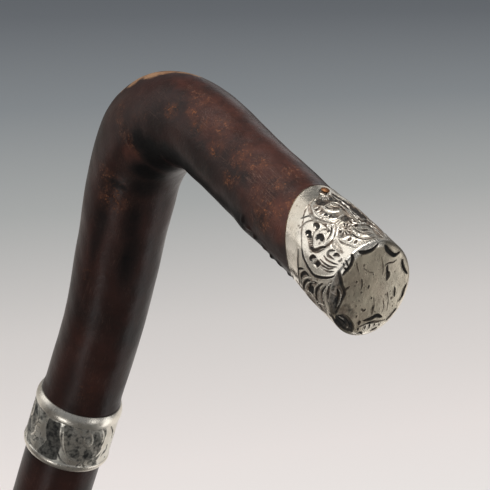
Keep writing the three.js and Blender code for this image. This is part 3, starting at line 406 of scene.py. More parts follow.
# Marks on the handle's wood: (distance along its axis, degrees round, half length,
# half width, strength). The strength of a nick is its depth.
wood_marks = {
    # Painted shade: near black in the crook and along the underside, with dark columns down the
    # leg for dark reflections
    "painted_shade": [
        (104, 343, 5, 5, 0.9), (108, 328, 7, 6, 1), (116, 322, 8, 6, 1), (106, 308, 8, 8, 1),
        (95, 302, 7, 6, 0.95), (86, 294, 8, 5, 0.7), (122, 320, 9, 6, 1), (128, 322, 8, 5, 1),
        (136, 320, 9, 5, 0.95), (145, 320, 9, 5, 0.95), (152, 326, 6, 5, 0.95),
        (155, 338, 3, 3, 0.7), (68, 338, 9, 2.6, 0.6), (62, 341, 9, 2.4, 0.6),
        (70, 298, 9, 3.4, 0.7), (60, 292, 12, 3.4, 0.7), (82, 327, 2, 4, 0.7),
        (160, 318, 5, 3.5, 0.8), (168, 312, 6, 3, 0.8), (176, 308, 5, 3, 0.7),
        (130, 290, 30, 8, 0.6), (98, 12, 6, 6, 0.35), (112, 4, 7, 8, 0.35),
        (136, 350, 10, 5, 0.3), (150, 345, 8, 4, 0.3), (100, 96, 9, 6, 0.4),
    ],
    # Redder, lighter wood along the arm's top and front, partly a painted sheen where the arm
    # catches the light
    "ruddy_and_sheen": [
        (122, 66, 8, 7, 0.5), (128, 84, 10, 7, 0.5), (138, 78, 10, 8, 0.5),
        (148, 88, 10, 8, 0.6), (157, 78, 10, 8, 0.6), (150, 58, 16, 8, 0.6),
        (168, 62, 10, 10, 0.7), (168, 28, 9, 9, 0.9), (97, 330, 5, 4, 0.6),
        (132, 48, 12, 7, 0.5), (156, 20, 10, 8, 0.45), (114, 74, 5, 5, 0.6),
    ],
    "worn": [
        (162, 15, 3.6, 3.6, 1), (166, 24, 3, 3, 0.85), (164, 3, 3, 3, 0.8), (159, 0, 3, 3, 0.9),
        (162, 352, 3, 3, 0.75), (156, 20, 3, 3, 0.7), (150, 50, 4, 3.4, 0.9),
        (159, 50, 3.4, 3, 0.95), (146, 12, 3.4, 3.4, 0.75), (136, 27, 3, 3, 0.6),
        (122, 40, 3.4, 2, 0.9), (126, 36, 3, 3, 0.7), (116, 26, 2.6, 2.6, 0.85),
        (98, 18, 2, 4, 0.6), (98, 0, 2, 5, 0.7), (100, 344, 2, 4, 0.6), (76, 330, 5, 5, 0.65),
        (144, 44, 5, 4, 0.7), (132, 54, 5, 4, 0.6), (157, 76, 4, 4, 0.6), (83, 336, 3, 6, 0.5),
        (168, 45, 5, 4, 0.7), (172, 15, 5, 4, 0.5), (120, 62, 5, 3, 0.7),
    ],
    "bare": [
        (95, 66, 2.4, 2.6, 0.85), (99, 66, 3, 3.6, 0.95), (103, 72, 3.2, 3.6, 1),
        (106, 82, 2.6, 3.2, 0.95), (109, 92, 2.4, 2.8, 0.9), (111, 102, 2, 3, 0.8),
        (103, 92, 4, 4, 0.7),
    ],
    "scuffed": [
        (126, 54, 6, 4, 0.9), (134, 52, 8, 5, 0.9), (142, 48, 8, 6, 0.9), (152, 48, 8, 7, 1),
        (160, 40, 8, 8, 1), (168, 30, 8, 9, 0.8), (118, 56, 6, 4, 0.6), (110, 20, 8, 8, 0.3),
    ],
}
wood_nicks = [
    (157, 333, 1.6, 0.7, 0.3), (159.6, 325, 0.8, 1.2, 0.4), (163.5, 319, 1.5, 0.8, 0.3),
    (166.2, 313, 0.7, 1.1, 0.4), (170, 315, 1.8, 0.6, 0.3), (174, 311, 0.8, 1, 0.3),
    (154.8, 338, 0.7, 1.6, 0.35), (76, 332, 1.2, 0.8, 0.12), (99, 346, 0.8, 2.4, 0.14),
]

# The round shells that strokes are laid on: their radius, and the length of a degree
sleeve_shell, sleeve_degree = 12.1, 0.21
collar_shell, collar_degree = 13, 0.226
# The collar's field is repeated at these degrees. A sleeve's stroke that lies wholly past
# the limit isn't mirrored, and ridges broader than the next width are laid before the cuts
collar_turns, mirror_limit, broad_ridge = (0, 150, 255), 52, 0.5
# A cut thins over these shares of its length and throws up a burr, and a ridge thins too
cut_run_in, cut_run_out, burr_rise, burr_width = 0.22, 0.4, 0.16, 0.1
ridge_run, ridge_fill = 0.2, 0.6
# A speck's (width, depth, tarnish), and the (share, depth) of the punch marks in a ground
face_speck = (0.14, 0.06, 0.7)
sleeve_punch, face_punch, collar_punch = (0.35, 0.2), (0.3, 0.14), (0.3, 0.16)
# The most that worked metal stands proud
sleeve_proud, face_proud = 0.22, 0.12
# Closer points of a skin are welded, and shorter edges dissolved, both in metres
weld, sliver = 1e-6, 1e-7


# Shapes

def smooth(value, low, high):
    """Share of the way from low to high, eased at both ends."""
    share = np.clip((value - low) / (high - low), 0, 1)
    return share * share * (3 - 2 * share)


def mix(low, high, share):
    """Value a share of the way between two."""
    return low + (high - low) * share


def mouth_x(height):
    """Reach of the cap's slanting mouth at a height above the handle's axis."""
    above = height + mouth_knee
    return mouth_reach - mouth_slope * (above + np.hypot(above, mouth_softness)) / 2


def face_x(height):
    """Reach of the cap's leaning face at a height above the handle's axis."""
    return handle_reach - face_slope * height


def sleeve_radius(depth):
    """Radius of the sleeve at a depth in front of its mouth."""
    return mix(cap_mouth_radius, cap_radius, smooth(depth, 0, cap_swell))


def skin(name, columns, rows, place, crease=35):
    """Piece skinned over a grid. place(column, row) gives its points and their marks."""
    grid = bmesh.new()
    bmesh.ops.create_grid(grid, x_segments=columns, y_segments=rows, size=1)
    mesh = bpy.data.meshes.new(name)
    grid.to_mesh(mesh)
    grid.free()
    corners = np.empty(len(mesh.vertices) * 3)
    mesh.vertices.foreach_get("co", corners)
    across, along = (corners.reshape(-1, 3)[:, :2].T + 1) / 2
    column = np.rint(across * columns).astype(int)
    row = np.rint(along * rows).astype(int)
    points, marks = place(column, row)
    mesh.vertices.foreach_set("co", (points * mm).ravel())
    for key, values in marks.items():
        layer = mesh.attributes.new(key, "FLOAT", "POINT")
        layer.data.foreach_set("value", values.astype(np.float32))
    closed = bmesh.new()
    closed.from_mesh(mesh)
    bmesh.ops.remove_doubles(closed, verts=closed.verts, dist=weld)
    bmesh.ops.dissolve_degenerate(closed, dist=sliver, edges=closed.edges)
    bmesh.ops.recalc_face_normals(closed, faces=closed.faces)
    closed.to_mesh(mesh)
    closed.free()
    mesh.polygons.foreach_set("use_smooth", [True] * len(mesh.polygons))
    mesh.set_sharp_from_angle(angle=radians(crease))
    piece = bpy.data.objects.new(name, mesh)
    bpy.context.scene.collection.objects.link(piece)
    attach(piece, "root")
    return piece


def curve_through(points, step=0.12):
    """Smooth line through points, sampled every step or closer."""
    points = np.asarray(points, float)
    if len(points) == 2:
        count = max(2, int(np.linalg.norm(points[1] - points[0]) / step))
        return points[0] + (points[1] - points[0]) * np.linspace(0, 1, count)[:, None]
    padded = np.vstack([2 * points[0] - points[1], points, 2 * points[-1] - points[-2]])
    pieces = []
    for a, b, c, d in zip(padded, padded[1:], padded[2:], padded[3:]):
        count = max(2, int(np.linalg.norm(c - b) / step))
        t = np.linspace(0, 1, count, endpoint=False)[:, None]
        bend = (2 * a - 5 * b + 4 * c - d) * t ** 2 + (3 * b - a - 3 * c + d) * t ** 3
        pieces.append(b + ((c - a) * t + bend) / 2)
    return np.vstack(pieces + [points[-1:]])


class Metal:
    """Surface that a graver works: heights and tarnish at places on a flat or a shell."""

    def __init__(self, places):
        self.places = places
        self.rise = np.zeros(len(places))
        self.dark = np.zeros(len(places))
        self.matt = np.zeros(len(places))
        self.bright = np.zeros(len(places))

    def near(self, line, reach):
        """Places near a line: which they are, how far off it, and how far along it."""
        low, high = line.min(0) - reach, line.max(0) + reach
        found = np.flatnonzero(((self.places > low) & (self.places < high)).all(1))
        gaps = np.linalg.norm(self.places[found][:, None] - line[None], axis=2)
        nearest = gaps.argmin(1)
        return found, gaps[np.arange(len(found)), nearest], nearest / max(1, len(line) - 1)

    def cut(self, line, width, depth, dark):
        """Groove that thins towards its ends, with a burr along its edges."""
        found, gap, share = self.near(line, width + 0.5)
        taper = np.clip(np.minimum(share / cut_run_in, (1 - share) / cut_run_out), 0, 1) ** 0.6
        half = (width * 0.64 + 0.06) * (0.35 + 0.65 * taper)
        bowl = np.clip(1 - (gap / half) ** 2, 0, 1)
        burr = np.exp(-((gap - half - 0.07) / burr_width) ** 2)
        self.rise[found] += burr_rise * depth * burr - depth * (0.5 + 0.5 * taper) * bowl
        shade = dark ** 0.5 * smooth(1.2 - gap / (half + 0.03), 0, 0.4)
        self.dark[found] = np.maximum(self.dark[found], shade)

    def ridge(self, line, width, height):
        """Rounded ridge with a bright top, polished and partly a painted highlight, cleared of
        tarnish and punch marks.
        """
        found, gap, share = self.near(line, width)
        taper = np.clip(np.minimum(share / ridge_run, (1 - share) / ridge_run), 0, 1) ** 0.5
        half = width / 2 * (0.4 + 0.6 * taper)
        dome = np.clip(1 - (gap / half) ** 2, 0, 1)
        self.rise[found] += ridge_fill * height * taper * dome
        gleam = 0.9 if width < broad_ridge else 0.5
        self.bright[found] = np.maximum(self.bright[found], gleam * smooth(dome, 0, 0.5))
        self.dark[found] *= 1 - smooth(dome, 0, 0.4)
        self.matt[found] *= 1 - smooth(dome, 0, 0.4)

    def stain(self, middle, size, dark):
        """Soft spot of painted shade with no depth."""
        away = np.linalg.norm((self.places - middle) / size, axis=1)
        self.dark = np.maximum(self.dark, dark * (1 - smooth(away, 0.2, 1)))

    def ground(self, outline, inside, depth, dark):
        """Sunk and matted ground, or a soft tone with no depth, on the places inside it."""
        found, gap, _ = self.near(outline, 0.6)
        signed = np.where(inside[found], gap, -gap)
        cover = smooth(signed, -0.12, 0.25) if depth else smooth(signed, -0.25, 0.3)
        self.rise[found] -= depth * cover
        self.dark[found] = np.maximum(self.dark[found], dark ** 0.5 * cover)
        if depth:
            self.matt[found] = np.maximum(self.matt[found], cover)


def inside_outline(outline, places):
    """Whether each flat place lies in a closed outline."""
    x, y = places.T
    inside = np.zeros(len(places), bool)
    for (ax, ay), (bx, by) in zip(outline, np.roll(outline, -1, 0)):
        crosses = (ay > y) != (by > y)
        with np.errstate(divide="ignore", invalid="ignore"):
            inside ^= crosses & (x < (bx - ax) * (y - ay) / (by - ay) + ax)
    return inside


def lay(metal, kind, stroke, flat, shell, degree, turn, way=1):
    """Lay one stroke of a table round a shell, turned, and mirrored where way is -1."""
    *sizes, points = stroke
    places = np.array(points, float)
    places[:, 0] = turn + way * places[:, 0]
    if kind == "ground":
        places = np.vstack([places, places[:1]])
    scale = np.array([degree, 1])
    line = curve_through(places * scale) / scale
    if kind == "cut":
        metal.cut(shell(line), *sizes)
    elif kind == "ridge":
        metal.ridge(shell(line), *sizes)
    else:
        middle = places[:, 0].mean()
        offset = (flat[:, 0] - middle + 180) % 360 - 180
        unrolled = np.column_stack([offset + middle, flat[:, 1]])
        metal.ground(shell(line), inside_outline(line, unrolled), *sizes)


def speckle(count, share, size):
    """Random punch marks: most places none, a few up to size deep."""
    return np.where(rng.random(count) < share, rng.random(count) * size, 0)


# The cap's sleeve

def round_cap(places):
    angle = np.radians(places[:, 0])
    return np.column_stack([places[:, 1], -sleeve_shell * np.cos(angle),
                            sleeve_shell * np.sin(angle)])


seen_from, seen_to, seen_step, far_columns = -58, 130, 0.5, 151
near_side = np.arange(seen_from, seen_to, seen_step)
far_side = np.linspace(near_side[-1], seen_from + 360, far_columns + 1)
sleeve_angles = np.radians(np.concatenate([near_side, far_side[1:]]))
sleeve_rows = 180
# Rows that follow inside the sleeve, from its front edge back: (share of its length, inset)
sleeve_inside = [(1, 0.12), (1, cap_wall), (0.6, cap_wall), (0.02, cap_wall),
                 (0, cap_wall - 0.1), (-0.004, 0.3), (0, 0)]
plate_gap = 0.03
lip_round, lip_length = 0.12, 0.35


def engrave_sleeve(metal, flat):
    """The strokes as drawn, and again as a mirror image on the far side."""
    broad = [stroke for stroke in sleeve_ridges if stroke[0] >= broad_ridge]
    narrow = [stroke for stroke in sleeve_ridges if stroke[0] < broad_ridge]
    layers = [("ground", sleeve_grounds), ("ridge", broad), ("cut", sleeve_cuts),
              ("ridge", narrow)]
    for turn, way in ((0, 1), (180, -1)):
        for kind, table in layers:
            for stroke in table:
                if way < 0 and min(point[0] for point in stroke[-1]) > mirror_limit:
                    continue
                lay(metal, kind, stroke, flat, round_cap, sleeve_degree, turn, way)


def place_sleeve(column, row):
    angle = sleeve_angles[column % (len(sleeve_angles) - 1)]
    share = np.clip(row / sleeve_rows, 0, 1)
    inset = np.zeros(len(row))
    outside = row <= sleeve_rows
    for step, (place, depth) in enumerate(sleeve_inside, 1):
        at = row == sleeve_rows + step
        share[at] = place
        inset[at] = depth
    front = plate_thickness + plate_gap
    radius = np.full(len(row), float(cap_radius))
    for _ in range(4):
        height = radius * np.sin(angle)
        run = face_x(height) - front - mouth_x(height)
        depth = share * run
        radius = sleeve_radius(depth)
    height = radius * np.sin(angle)
    x = mouth_x(height) + depth
    flat = np.column_stack([np.degrees(angle), x])
    metal = Metal(round_cap(flat))
    engrave_sleeve(metal, flat)
    lip = -lip_round * smooth(lip_length - depth, 0, lip_length)
    calm = smooth(depth, 0, 0.5) * smooth(run - depth, 0, 0.6)
    worked = (metal.rise - metal.matt * speckle(len(row), *sleeve_punch)) * calm + lip
    radius = radius + np.where(outside, np.minimum(worked, sleeve_proud), -inset)
    height = radius * np.sin(angle)
    points = np.column_stack([x, -radius * np.cos(angle), axis_height + height])
    # Polish and painted highlight, paler and smoother: the scrolls of the side, the plain rear
    # band and the ridges' tops
    way = (np.degrees(angle) + 90) % 360 - 90
    scrolls = smooth(depth, 4.5, 6.5) * smooth(way, -5, 15) * (1 - smooth(way, 56, 72))
    low_band = (1 - smooth(depth, 5, 7)) * (1 - smooth(way, 6, 24))
    polish_and_highlight_marks = np.maximum(np.maximum(0.6 * scrolls, 0.9 * low_band), metal.bright)
    return points, {"dark": metal.dark * outside, "matt": metal.matt * outside,
                    "polish_and_highlight": polish_and_highlight_marks * outside}


cap_sleeve = skin("cap_sleeve_engraved", len(sleeve_angles) - 1,
                  sleeve_rows + len(sleeve_inside), place_sleeve, 60)
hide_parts("cap_sleeve")


# The cap's end plate

plate_columns = 440
face_crown, flat_radius = 0.3, cap_radius - shoulder_width
face_radii = np.concatenate([np.linspace(0, 8, 46), np.linspace(8.12, flat_radius, 18)])
face_turns = np.radians(np.linspace(4, 90, 16))
face_rows = len(face_radii) + len(face_turns)
plate_rim = [(cap_radius, -plate_thickness + 0.02), (cap_radius - 0.1, -plate_thickness),
             (0, -plate_thickness)]
plate_profile = np.array(
    [(r, -face_crown * (r / flat_radius) ** 2) for r in face_radii]
    + [(flat_radius + shoulder_width * sin(t),
        (shoulder_drop - face_crown) * (cos(t) - 1) - face_crown) for t in face_turns]
    + plate_rim)


def place_plate(column, row):
    angle = 2 * pi * column / plate_columns
    radius, front = plate_profile[row].T
    u, v = radius * np.cos(angle), radius * np.sin(angle)
    metal = Metal(np.column_stack([u, v]))
    # Painted shade: soft dark spots on the face
    for stain in face_shade_spots:
        metal.stain(*stain)
    for depth, dark, points in face_grounds:
        outline = curve_through(points + points[:1])
        metal.ground(outline, inside_outline(outline, metal.places), depth, dark)
    for width, height, points in face_ridges:
        metal.ridge(curve_through(points), width, height)
    for width, depth, dark, points in face_cuts:
        metal.cut(curve_through(points), width, depth, dark)
    for speck in face_specks:
        metal.cut(curve_through((speck[:2], speck[2:])), *face_speck)
    on_front = row < face_rows
    worked = metal.rise - metal.matt * speckle(len(row), *face_punch)
    worked += 0.04 * np.sin(u * 0.55 + 0.8) * np.cos(v * 0.42 - 0.3)
    calm = np.maximum(smooth(cap_radius - radius, 0, 0.3), 0.2)
    front = front + on_front * np.minimum(worked, face_proud) * calm
    points = np.column_stack([face_x(v) + front, -u, axis_height + v])
    # Painted highlight and polish, paler and smoother: the rim's top left, its foot and its
    # lower right, a broad lightening towards one side, and the ridges' tops
    polish_and_highlight_marks = [
        smooth(radius, 10.5, 11.3) * smooth(v, -6, 0) * smooth(u, -3, 1),
        0.45 * smooth(-v, 8.4, 9.6) * smooth(2 - u, 0, 3),
        0.8 * smooth(radius, 11.1, 11.6) * smooth(-u, -6, -1) * smooth(-v, -4, 2),
        0.13 * smooth(-u, -1, 8),
        0.8 * metal.bright,
    ]
    return points, {"dark": metal.dark * on_front, "matt": metal.matt * on_front,
                    "polish_and_highlight": np.max(polish_and_highlight_marks, 0)}


end_plate = skin("cap_face_struck", plate_columns, face_rows + len(plate_rim) - 1,
                 place_plate, 60)
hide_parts("cap_end_plate")


# The collar

def collar_radius(height):
    return mix(collar_bottom_radius, collar_top_radius,
               (height - collar_bottom) / (collar_top - collar_bottom))


def collar_outline(height):
    """Radius outside the collar at a height, with its band and bead."""
    band = collar_top - band_height
    bead = collar_bottom + bead_height
    up = np.clip((height - band) / band_height, 0, 1)
    down = np.clip((height - collar_bottom) / bead_height, 0, 1)
    rise = band_rise * np.sin(pi * up) - band_turn * up ** 2
    rise = rise + bead_rise * np.sin(pi * down) - bead_turn * (1 - down) ** 2
    step = band_step * smooth(band - height, 0, 0.25) * smooth(height - bead, 0, 0.25)
    return collar_radius(height) + rise - step


def round_collar(places):
    angle = np.radians(places[:, 0])
    return np.column_stack([collar_shell * np.sin(angle), -collar_shell * np.cos(angle),
                            places[:, 1]])


collar_columns, collar_rows = 480, 125
collar_heights = np.linspace(collar_bottom, collar_top, collar_rows)
collar_inside = [(collar_top, collar_bore), (collar_top - 1.2, collar_bore),
                 (collar_bottom + 1.2, collar_bore), (collar_bottom, collar_bore),
                 (collar_bottom, collar_outline(collar_bottom))]


def place_collar(column, row):
    angle = 2 * pi * column / collar_columns
    height = collar_heights[np.clip(row, 0, collar_rows - 1)].copy()
    radius = collar_outline(height)
    flat = np.column_stack([np.degrees(angle), height])
    metal = Metal(round_collar(flat))
    for turn in collar_turns:
        for kind, table in (("ground", collar_grounds), ("ridge", collar_ridges),
                            ("cut", collar_cuts)):
            for stroke in table:
                lay(metal, kind, stroke, flat, round_collar, collar_degree, turn)
    bead, band = collar_bottom + bead_height, collar_top - band_height
    calm = smooth(height, bead - 0.2, bead + 0.3) * smooth(band - height, -0.1, 0.3)
    worked = metal.rise - metal.matt * speckle(len(row), *collar_punch)
    radius = radius + worked * calm
    for step, inside in enumerate(collar_inside):
        at = row == collar_rows + step
        height[at], radius[at] = inside
    points = np.column_stack([radius * np.sin(angle), -radius * np.cos(angle), height])
    outside = row < collar_rows
    # Polish and painted highlight, paler and smoother: the band, the bead, the middle of the
    # field and the ridges' tops
    way = np.degrees(angle)
    field = smooth(way, 45, 62) * (1 - smooth(way, 90, 115))
    polish_and_highlight_marks = np.maximum(np.maximum(0.6 * (1 - calm), 0.8 * field), metal.bright)
    return points, {"dark": metal.dark * calm * outside, "matt": metal.matt * calm * outside,
                    "polish_and_highlight": polish_and_highlight_marks * (1 - metal.dark) * outside}


collar = skin("collar_engraved", collar_columns, collar_rows + len(collar_inside) - 1,
              place_collar, 50)
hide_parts("collar_band")


# The wood

kink_tangent = kink_radius * tan(lean / 2)
lean_run = (kink_drop - bend_radius * (1 + sin(lean))) / cos(lean)
bend_end_reach = bend_radius * cos(lean) - lean_run * sin(lean)
neck_run = axis_height - kink_drop - kink_tangent - joint_height
stretches = [
    (neck_run, 0), (kink_radius * lean, -lean), (lean_run - kink_tangent, 0),
    (bend_radius * (pi / 2 + lean), pi / 2 + lean), (handle_reach - bend_end_reach, 0),
]


def go_on(x, z, heading, length, turn, run):
    """Place and heading after a run along a stretch with a length and a turn."""
    if turn == 0:
        return x + run * sin(heading), z + run * cos(heading), heading
    radius = length / turn
    ahead = heading + run / radius
    x = x + radius * (cos(heading) - cos(ahead))
    z = z + radius * (sin(ahead) - sin(heading))
    return x, z, ahead


def walk_axis():
    """Starts of the axis's stretches: distance, place, heading, length, turn."""
    found, x, z, heading, travelled = [], 0.0, joint_height, 0.0, 0.0
    for length, turn in stretches:
        found.append((travelled, x, z, heading, length, turn))
        x, z, heading = go_on(x, z, heading, length, turn, length)
        travelled += length
    return found, travelled


starts, nose_end = walk_axis()
neck_end, kink_end, lean_end, bend_end = [start[0] for start in starts[1:]]
# Half widths of the handle: (distance, out, in, aside)
girths = [
    (0, neck_radius, neck_radius, neck_radius),
    (neck_end, kink_half, kink_half, kink_half),
    ((kink_end + lean_end) / 2,) + ((kink_half + throat_radius) / 2,) * 3,
    (lean_end, throat_radius, throat_radius, throat_radius),
    (mix(lean_end, bend_end, elbow_share), elbow_outer, elbow_inner, elbow_half_width),
    (bend_end, shoulder_half, shoulder_half, shoulder_half),
    (bend_end + shoulder_half, grip_radius, grip_radius, grip_radius),
    (nose_end + 0.01, nose_radius, nose_radius, nose_radius),
]


def axis_at(distance):
    travelled, *stretch = max(start for start in starts if start[0] <= max(distance, 0))
    return go_on(*stretch, distance - travelled)


def girth_at(distance):
    """Half widths of the handle at a distance: out, in and aside."""
    for low, high in zip(girths, girths[1:]):
        if distance < high[0]:
            share = float(smooth(np.array(distance), low[0], high[0]))
            return [mix(a, b, share) for a, b in zip(low[1:], high[1:])]
    return list(girths[-1][1:])


handle_columns, nose_rows, nose_length = 180, 60, 31
handle_foot, mouth_gap, tenon_length = 0.2, 0.04, 9
# Rings past the cap's mouth: (inset, depth behind the mouth)
tenon_rings = ((0.25, 0), (0.9, 0.4), (1.2, tenon_length))
flare_start = collar_top + 0.02 - joint_height
flare_end = flare_start + flare_height
handle_rows = np.concatenate([
    np.linspace(handle_foot, flare_start - 0.03, 3), np.linspace(flare_start, flare_end, 14),
    np.linspace(flare_end + 0.6, nose_end - nose_length, 300),
])


def handle_ring(distance, angle):
    """Ring of the handle's skin, with the flare at its foot and the knot."""
    x, z, heading = axis_at(distance)
    above = distance - flare_start
    flare = 0 if above < 0 else flare_rise * (1 - float(smooth(above, 0, flare_height)))
    outer, inner, half_width = [half + flare for half in girth_at(distance)]
    aside = grip_radius * np.arctan2(np.sin(angle - knot_angle), np.cos(angle - knot_angle))
    along = distance - (bend_end + knot_reach - bend_end_reach)
    knot = knot_height * np.exp(-(np.hypot(along, aside) / knot_size) ** 2)
    out = (np.where(np.sin(angle) > 0, outer, inner) + knot) * np.sin(angle)
    return np.column_stack([x - out * cos(heading), -(half_width + knot) * np.cos(angle),
                            z + out * sin(heading)])


def nose_ring(angles, radius, depth):
    """Ring that follows the slant of the cap's mouth."""
    rise = radius * np.sin(angles)
    return np.column_stack([mouth_x(rise) + depth, -radius * np.cos(angles),
                            axis_height + rise])


def place_handle(column, row):
    angles = 2 * pi * np.arange(handle_columns) / handle_columns
    rings = [np.tile([0, 0, joint_height + handle_foot], (handle_columns, 1))]
    rings += [handle_ring(distance, angles) for distance in handle_rows]
    last, mouth = rings[-1], nose_ring(angles, nose_radius, -mouth_gap)
    rings += [mix(last, mouth, k / nose_rows) for k in range(1, nose_rows + 1)]
    rings += [nose_ring(angles, nose_radius - inset, depth) for inset, depth in tenon_rings]
    rings.append(np.tile([mouth_x(0.0) + tenon_length, 0, axis_height], (handle_columns, 1)))
    stack = np.array(rings)
    distance = bend_end - bend_end_reach + stack[:, :, 0]
    distance[:len(handle_rows) + 1] = np.concatenate([[handle_foot], handle_rows])[:, None]
    found = row, column % handle_columns
    marks = {kind: blots(table, distance, angles)[found] for kind, table in wood_marks.items()}
    stack = stack + wood_dents(stack, blots(wood_nicks, distance, angles))
    return stack[found], marks


def blots(table, distance, angles):
    """Strength of soft blots that a table places on the handle."""
    found = np.zeros(distance.shape)
    for along, degrees_round, length, width, strength in table:
        aside = grip_radius * ((angles - radians(degrees_round) + pi) % (2 * pi) - pi)
        away = np.hypot((distance - along) / length, aside[None] / width)
        found = np.maximum(found, strength * (1 - smooth(away, 0.25, 1.25)))
    return found


dent_depth = 0.07


def wood_dents(stack, nicks):
    """Shallow hollows and flats left by the maker's knife, square to the surface."""
    round_way = np.roll(stack, -1, 1) - np.roll(stack, 1, 1)
    long_way = np.gradient(stack, axis=0)
    normal = np.cross(round_way, long_way)
    size = np.linalg.norm(normal, axis=2, keepdims=True)
    normal = np.divide(normal, size, out=np.zeros_like(normal), where=size > 1e-9)
    x, y, z = np.moveaxis(stack, 2, 0)
    wave = np.sin(x * 0.21 + z * 0.13 + 0.4) * np.sin(y * 0.33 + z * 0.11 - 1.1)
    wave += 0.6 * np.sin(z * 0.37 - y * 0.29 + 2.0) * np.sin(x * 0.31 + 0.7)
    wave += 0.3 * np.sin(z * 0.9 + x * 0.8) * np.sin(y * 0.7 + 0.5)
    rows = np.arange(len(stack))[:, None]
    calm = smooth(rows, 16, 30) * smooth(len(stack) - 6 - rows, 0, 12)
    return normal * (dent_depth * wave * calm - nicks)[:, :, None]


handle = skin("handle_wood_piece", handle_columns,
              1 + len(handle_rows) + nose_rows + len(tenon_rings), place_handle, 50)
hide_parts("handle")


def turned(name, profile, columns, crease=35, dent=0.0):
    """Piece turned about the shaft's axis from (radius, height) points."""
    profile = np.array(profile, float)

    def place(column, row):
        angle = 2 * pi * column / columns
        radius, height = profile[row].T
        wave = np.sin(3 * angle + height * 0.031) * np.sin(height * 0.043 + 1) * (radius > 1)
        radius = radius + dent * wave
        return np.column_stack([-radius * np.sin(angle), -radius * np.cos(angle), height]), {}

    return skin(name, columns, len(profile) - 1, place, crease)


def fillet(centre, size, start, end, steps):
    """Points round a corner between two angles."""
    angles = np.radians(np.linspace(start, end, steps))
    return [(centre[0] + size[0] * cos(a), centre[1] + size[1] * sin(a)) for a in angles]


shaft_heights = np.linspace(ferrule_mouth + 0.05, collar_bottom - 0.02, 220)
shaft_radii = mix(shaft_foot_radius - 0.06, shaft_top_radius,
                  (shaft_heights - ferrule_mouth) / (collar_bottom - ferrule_mouth))
shaft = turned("shaft_wood_piece", [
    (0, 15.4), (5.9, 15.4), (6.9, 41.6), *zip(shaft_radii, shaft_heights),
    (11.0, 762.4), (11.05, 770.7), (0, 770.7),
], 96, 35, 0.05)
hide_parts("shaft")

ferrule = turned("ferrule_brass_piece", [
    (6.3, 8), *fillet((6.85, 8.15), (0.15, 0.15), -90, 0, 4),
    *[(mix(7, 7.97, s), mix(8.4, 40.2, s)) for s in np.linspace(0, 1, 24)],
    (7.95, 40.4), *fillet((7.95, 41.2), (0.4, 0.75), -80, 90, 12),
    (7.3, 41.95), (7.2, 41.5), (6.3, 8.6), (6.3, 8),
], 96, 30, 0.02)
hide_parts("ferrule_tube")

tip = turned("ferrule_tip_worn", [
    (0, 0), (2.5, 0), (4.6, 0.06), *fillet((5.7, 1.3), (1.3, 1.3), -80, 0, 9),
    (7.0, 3), (7.0, 5), (7.0, 7.4), *fillet((6.75, 7.45), (0.25, 0.25), 0, 90, 4),
    (6.0, 7.7), (6.0, 15), (0, 15),
], 96, 35, 0.02)
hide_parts("ferrule_tip")


# Materials

class Nodes:
    """Short calls to add and join the nodes of one tree."""

    def __init__(self, tree):
        self.tree = tree

    def add(self, kind, inputs=None, **settings):
        node = self.tree.nodes.new(kind)
        for key, value in settings.items():
            setattr(node, key, value)
        for key, value in (inputs or {}).items():
            self.feed(node.inputs[key], value)
        return node

    def feed(self, socket, value):
        if isinstance(value, bpy.types.Node):
            value = value.outputs[0]
        if isinstance(value, bpy.types.NodeSocket):
            self.tree.links.new(value, socket)
        else:
            socket.default_value = value

    def math(self, operation, first, second=0.0):
        return self.add("ShaderNodeMath", {0: first, 1: second}, operation=operation)

    def plus(self, first, second):
        return self.math("ADD", first, second)

    def minus(self, first, second):
        return self.math("SUBTRACT", first, second)

    def times(self, first, second):
        return self.math("MULTIPLY", first, second)

    def larger(self, first, second):
        return self.math("MAXIMUM", first, second)

    def spread(self, value, low, high, to_low=0.0, to_high=1.0):
        """Value carried from one span to another, held inside it."""
        return self.add("ShaderNodeMapRange",
                        {0: value, 1: low, 2: high, 3: to_low, 4: to_high})

    def blend(self, share, low, high):
        """Colour between two colours, each from a node or given as three numbers."""
        node = self.add("ShaderNodeMix", data_type="RGBA")
        self.feed(node.inputs[0], share)
        for number, colour in ((6, low), (7, high)):
            colour = (*colour, 1) if isinstance(colour, tuple) else colour
            self.feed(node.inputs[number], colour)
        return node.outputs[2]

    def ramp(self, share, stops):
        """Colour that runs through stops of (place, colour)."""
        node = self.add("ShaderNodeValToRGB", {0: share})
        bar = node.color_ramp.elements
        while len(bar) < len(stops):
            bar.new(0.5)
        for stop, (place, colour) in zip(bar, stops):
            stop.position = place
            stop.color = (*colour, 1)
        return node.outputs[0]

    def noise(self, where, scale, detail=3.0, roughness=0.55):
        return self.add("ShaderNodeTexNoise", {"Vector": where, "Scale": scale,
                                               "Detail": detail, "Roughness": roughness})

    def stretched(self, where, scale, turn=(0, 0, 0)):
        return self.add("ShaderNodeMapping",
                        {"Vector": where, "Scale": scale, "Rotation": turn})

    def mark(self, name):
        return self.add("ShaderNodeAttribute", attribute_name=name).outputs["Fac"]

    def relief(self, shader, height, strength, distance):
        bump = self.add("ShaderNodeBump", {"Strength": strength, "Distance": distance,
                                           "Height": height})
        self.feed(shader.inputs["Normal"], bump)


def group(name, inputs, outputs):
    """New shared node group, with its nodes, its inputs and a call that sets its outputs."""
    tree = bpy.data.node_groups.new(name, "ShaderNodeTree")
    for key, kind, value in inputs:
        socket = tree.interface.new_socket(key, in_out="INPUT", socket_type=kind)
        if value is not None:
            socket.default_value = value
    for key, kind in outputs:
        tree.interface.new_socket(key, in_out="OUTPUT", socket_type=kind)
    nodes = Nodes(tree)
    taken = nodes.add("NodeGroupInput")
    given = nodes.add("NodeGroupOutput")
    return tree, nodes, taken.outputs, given


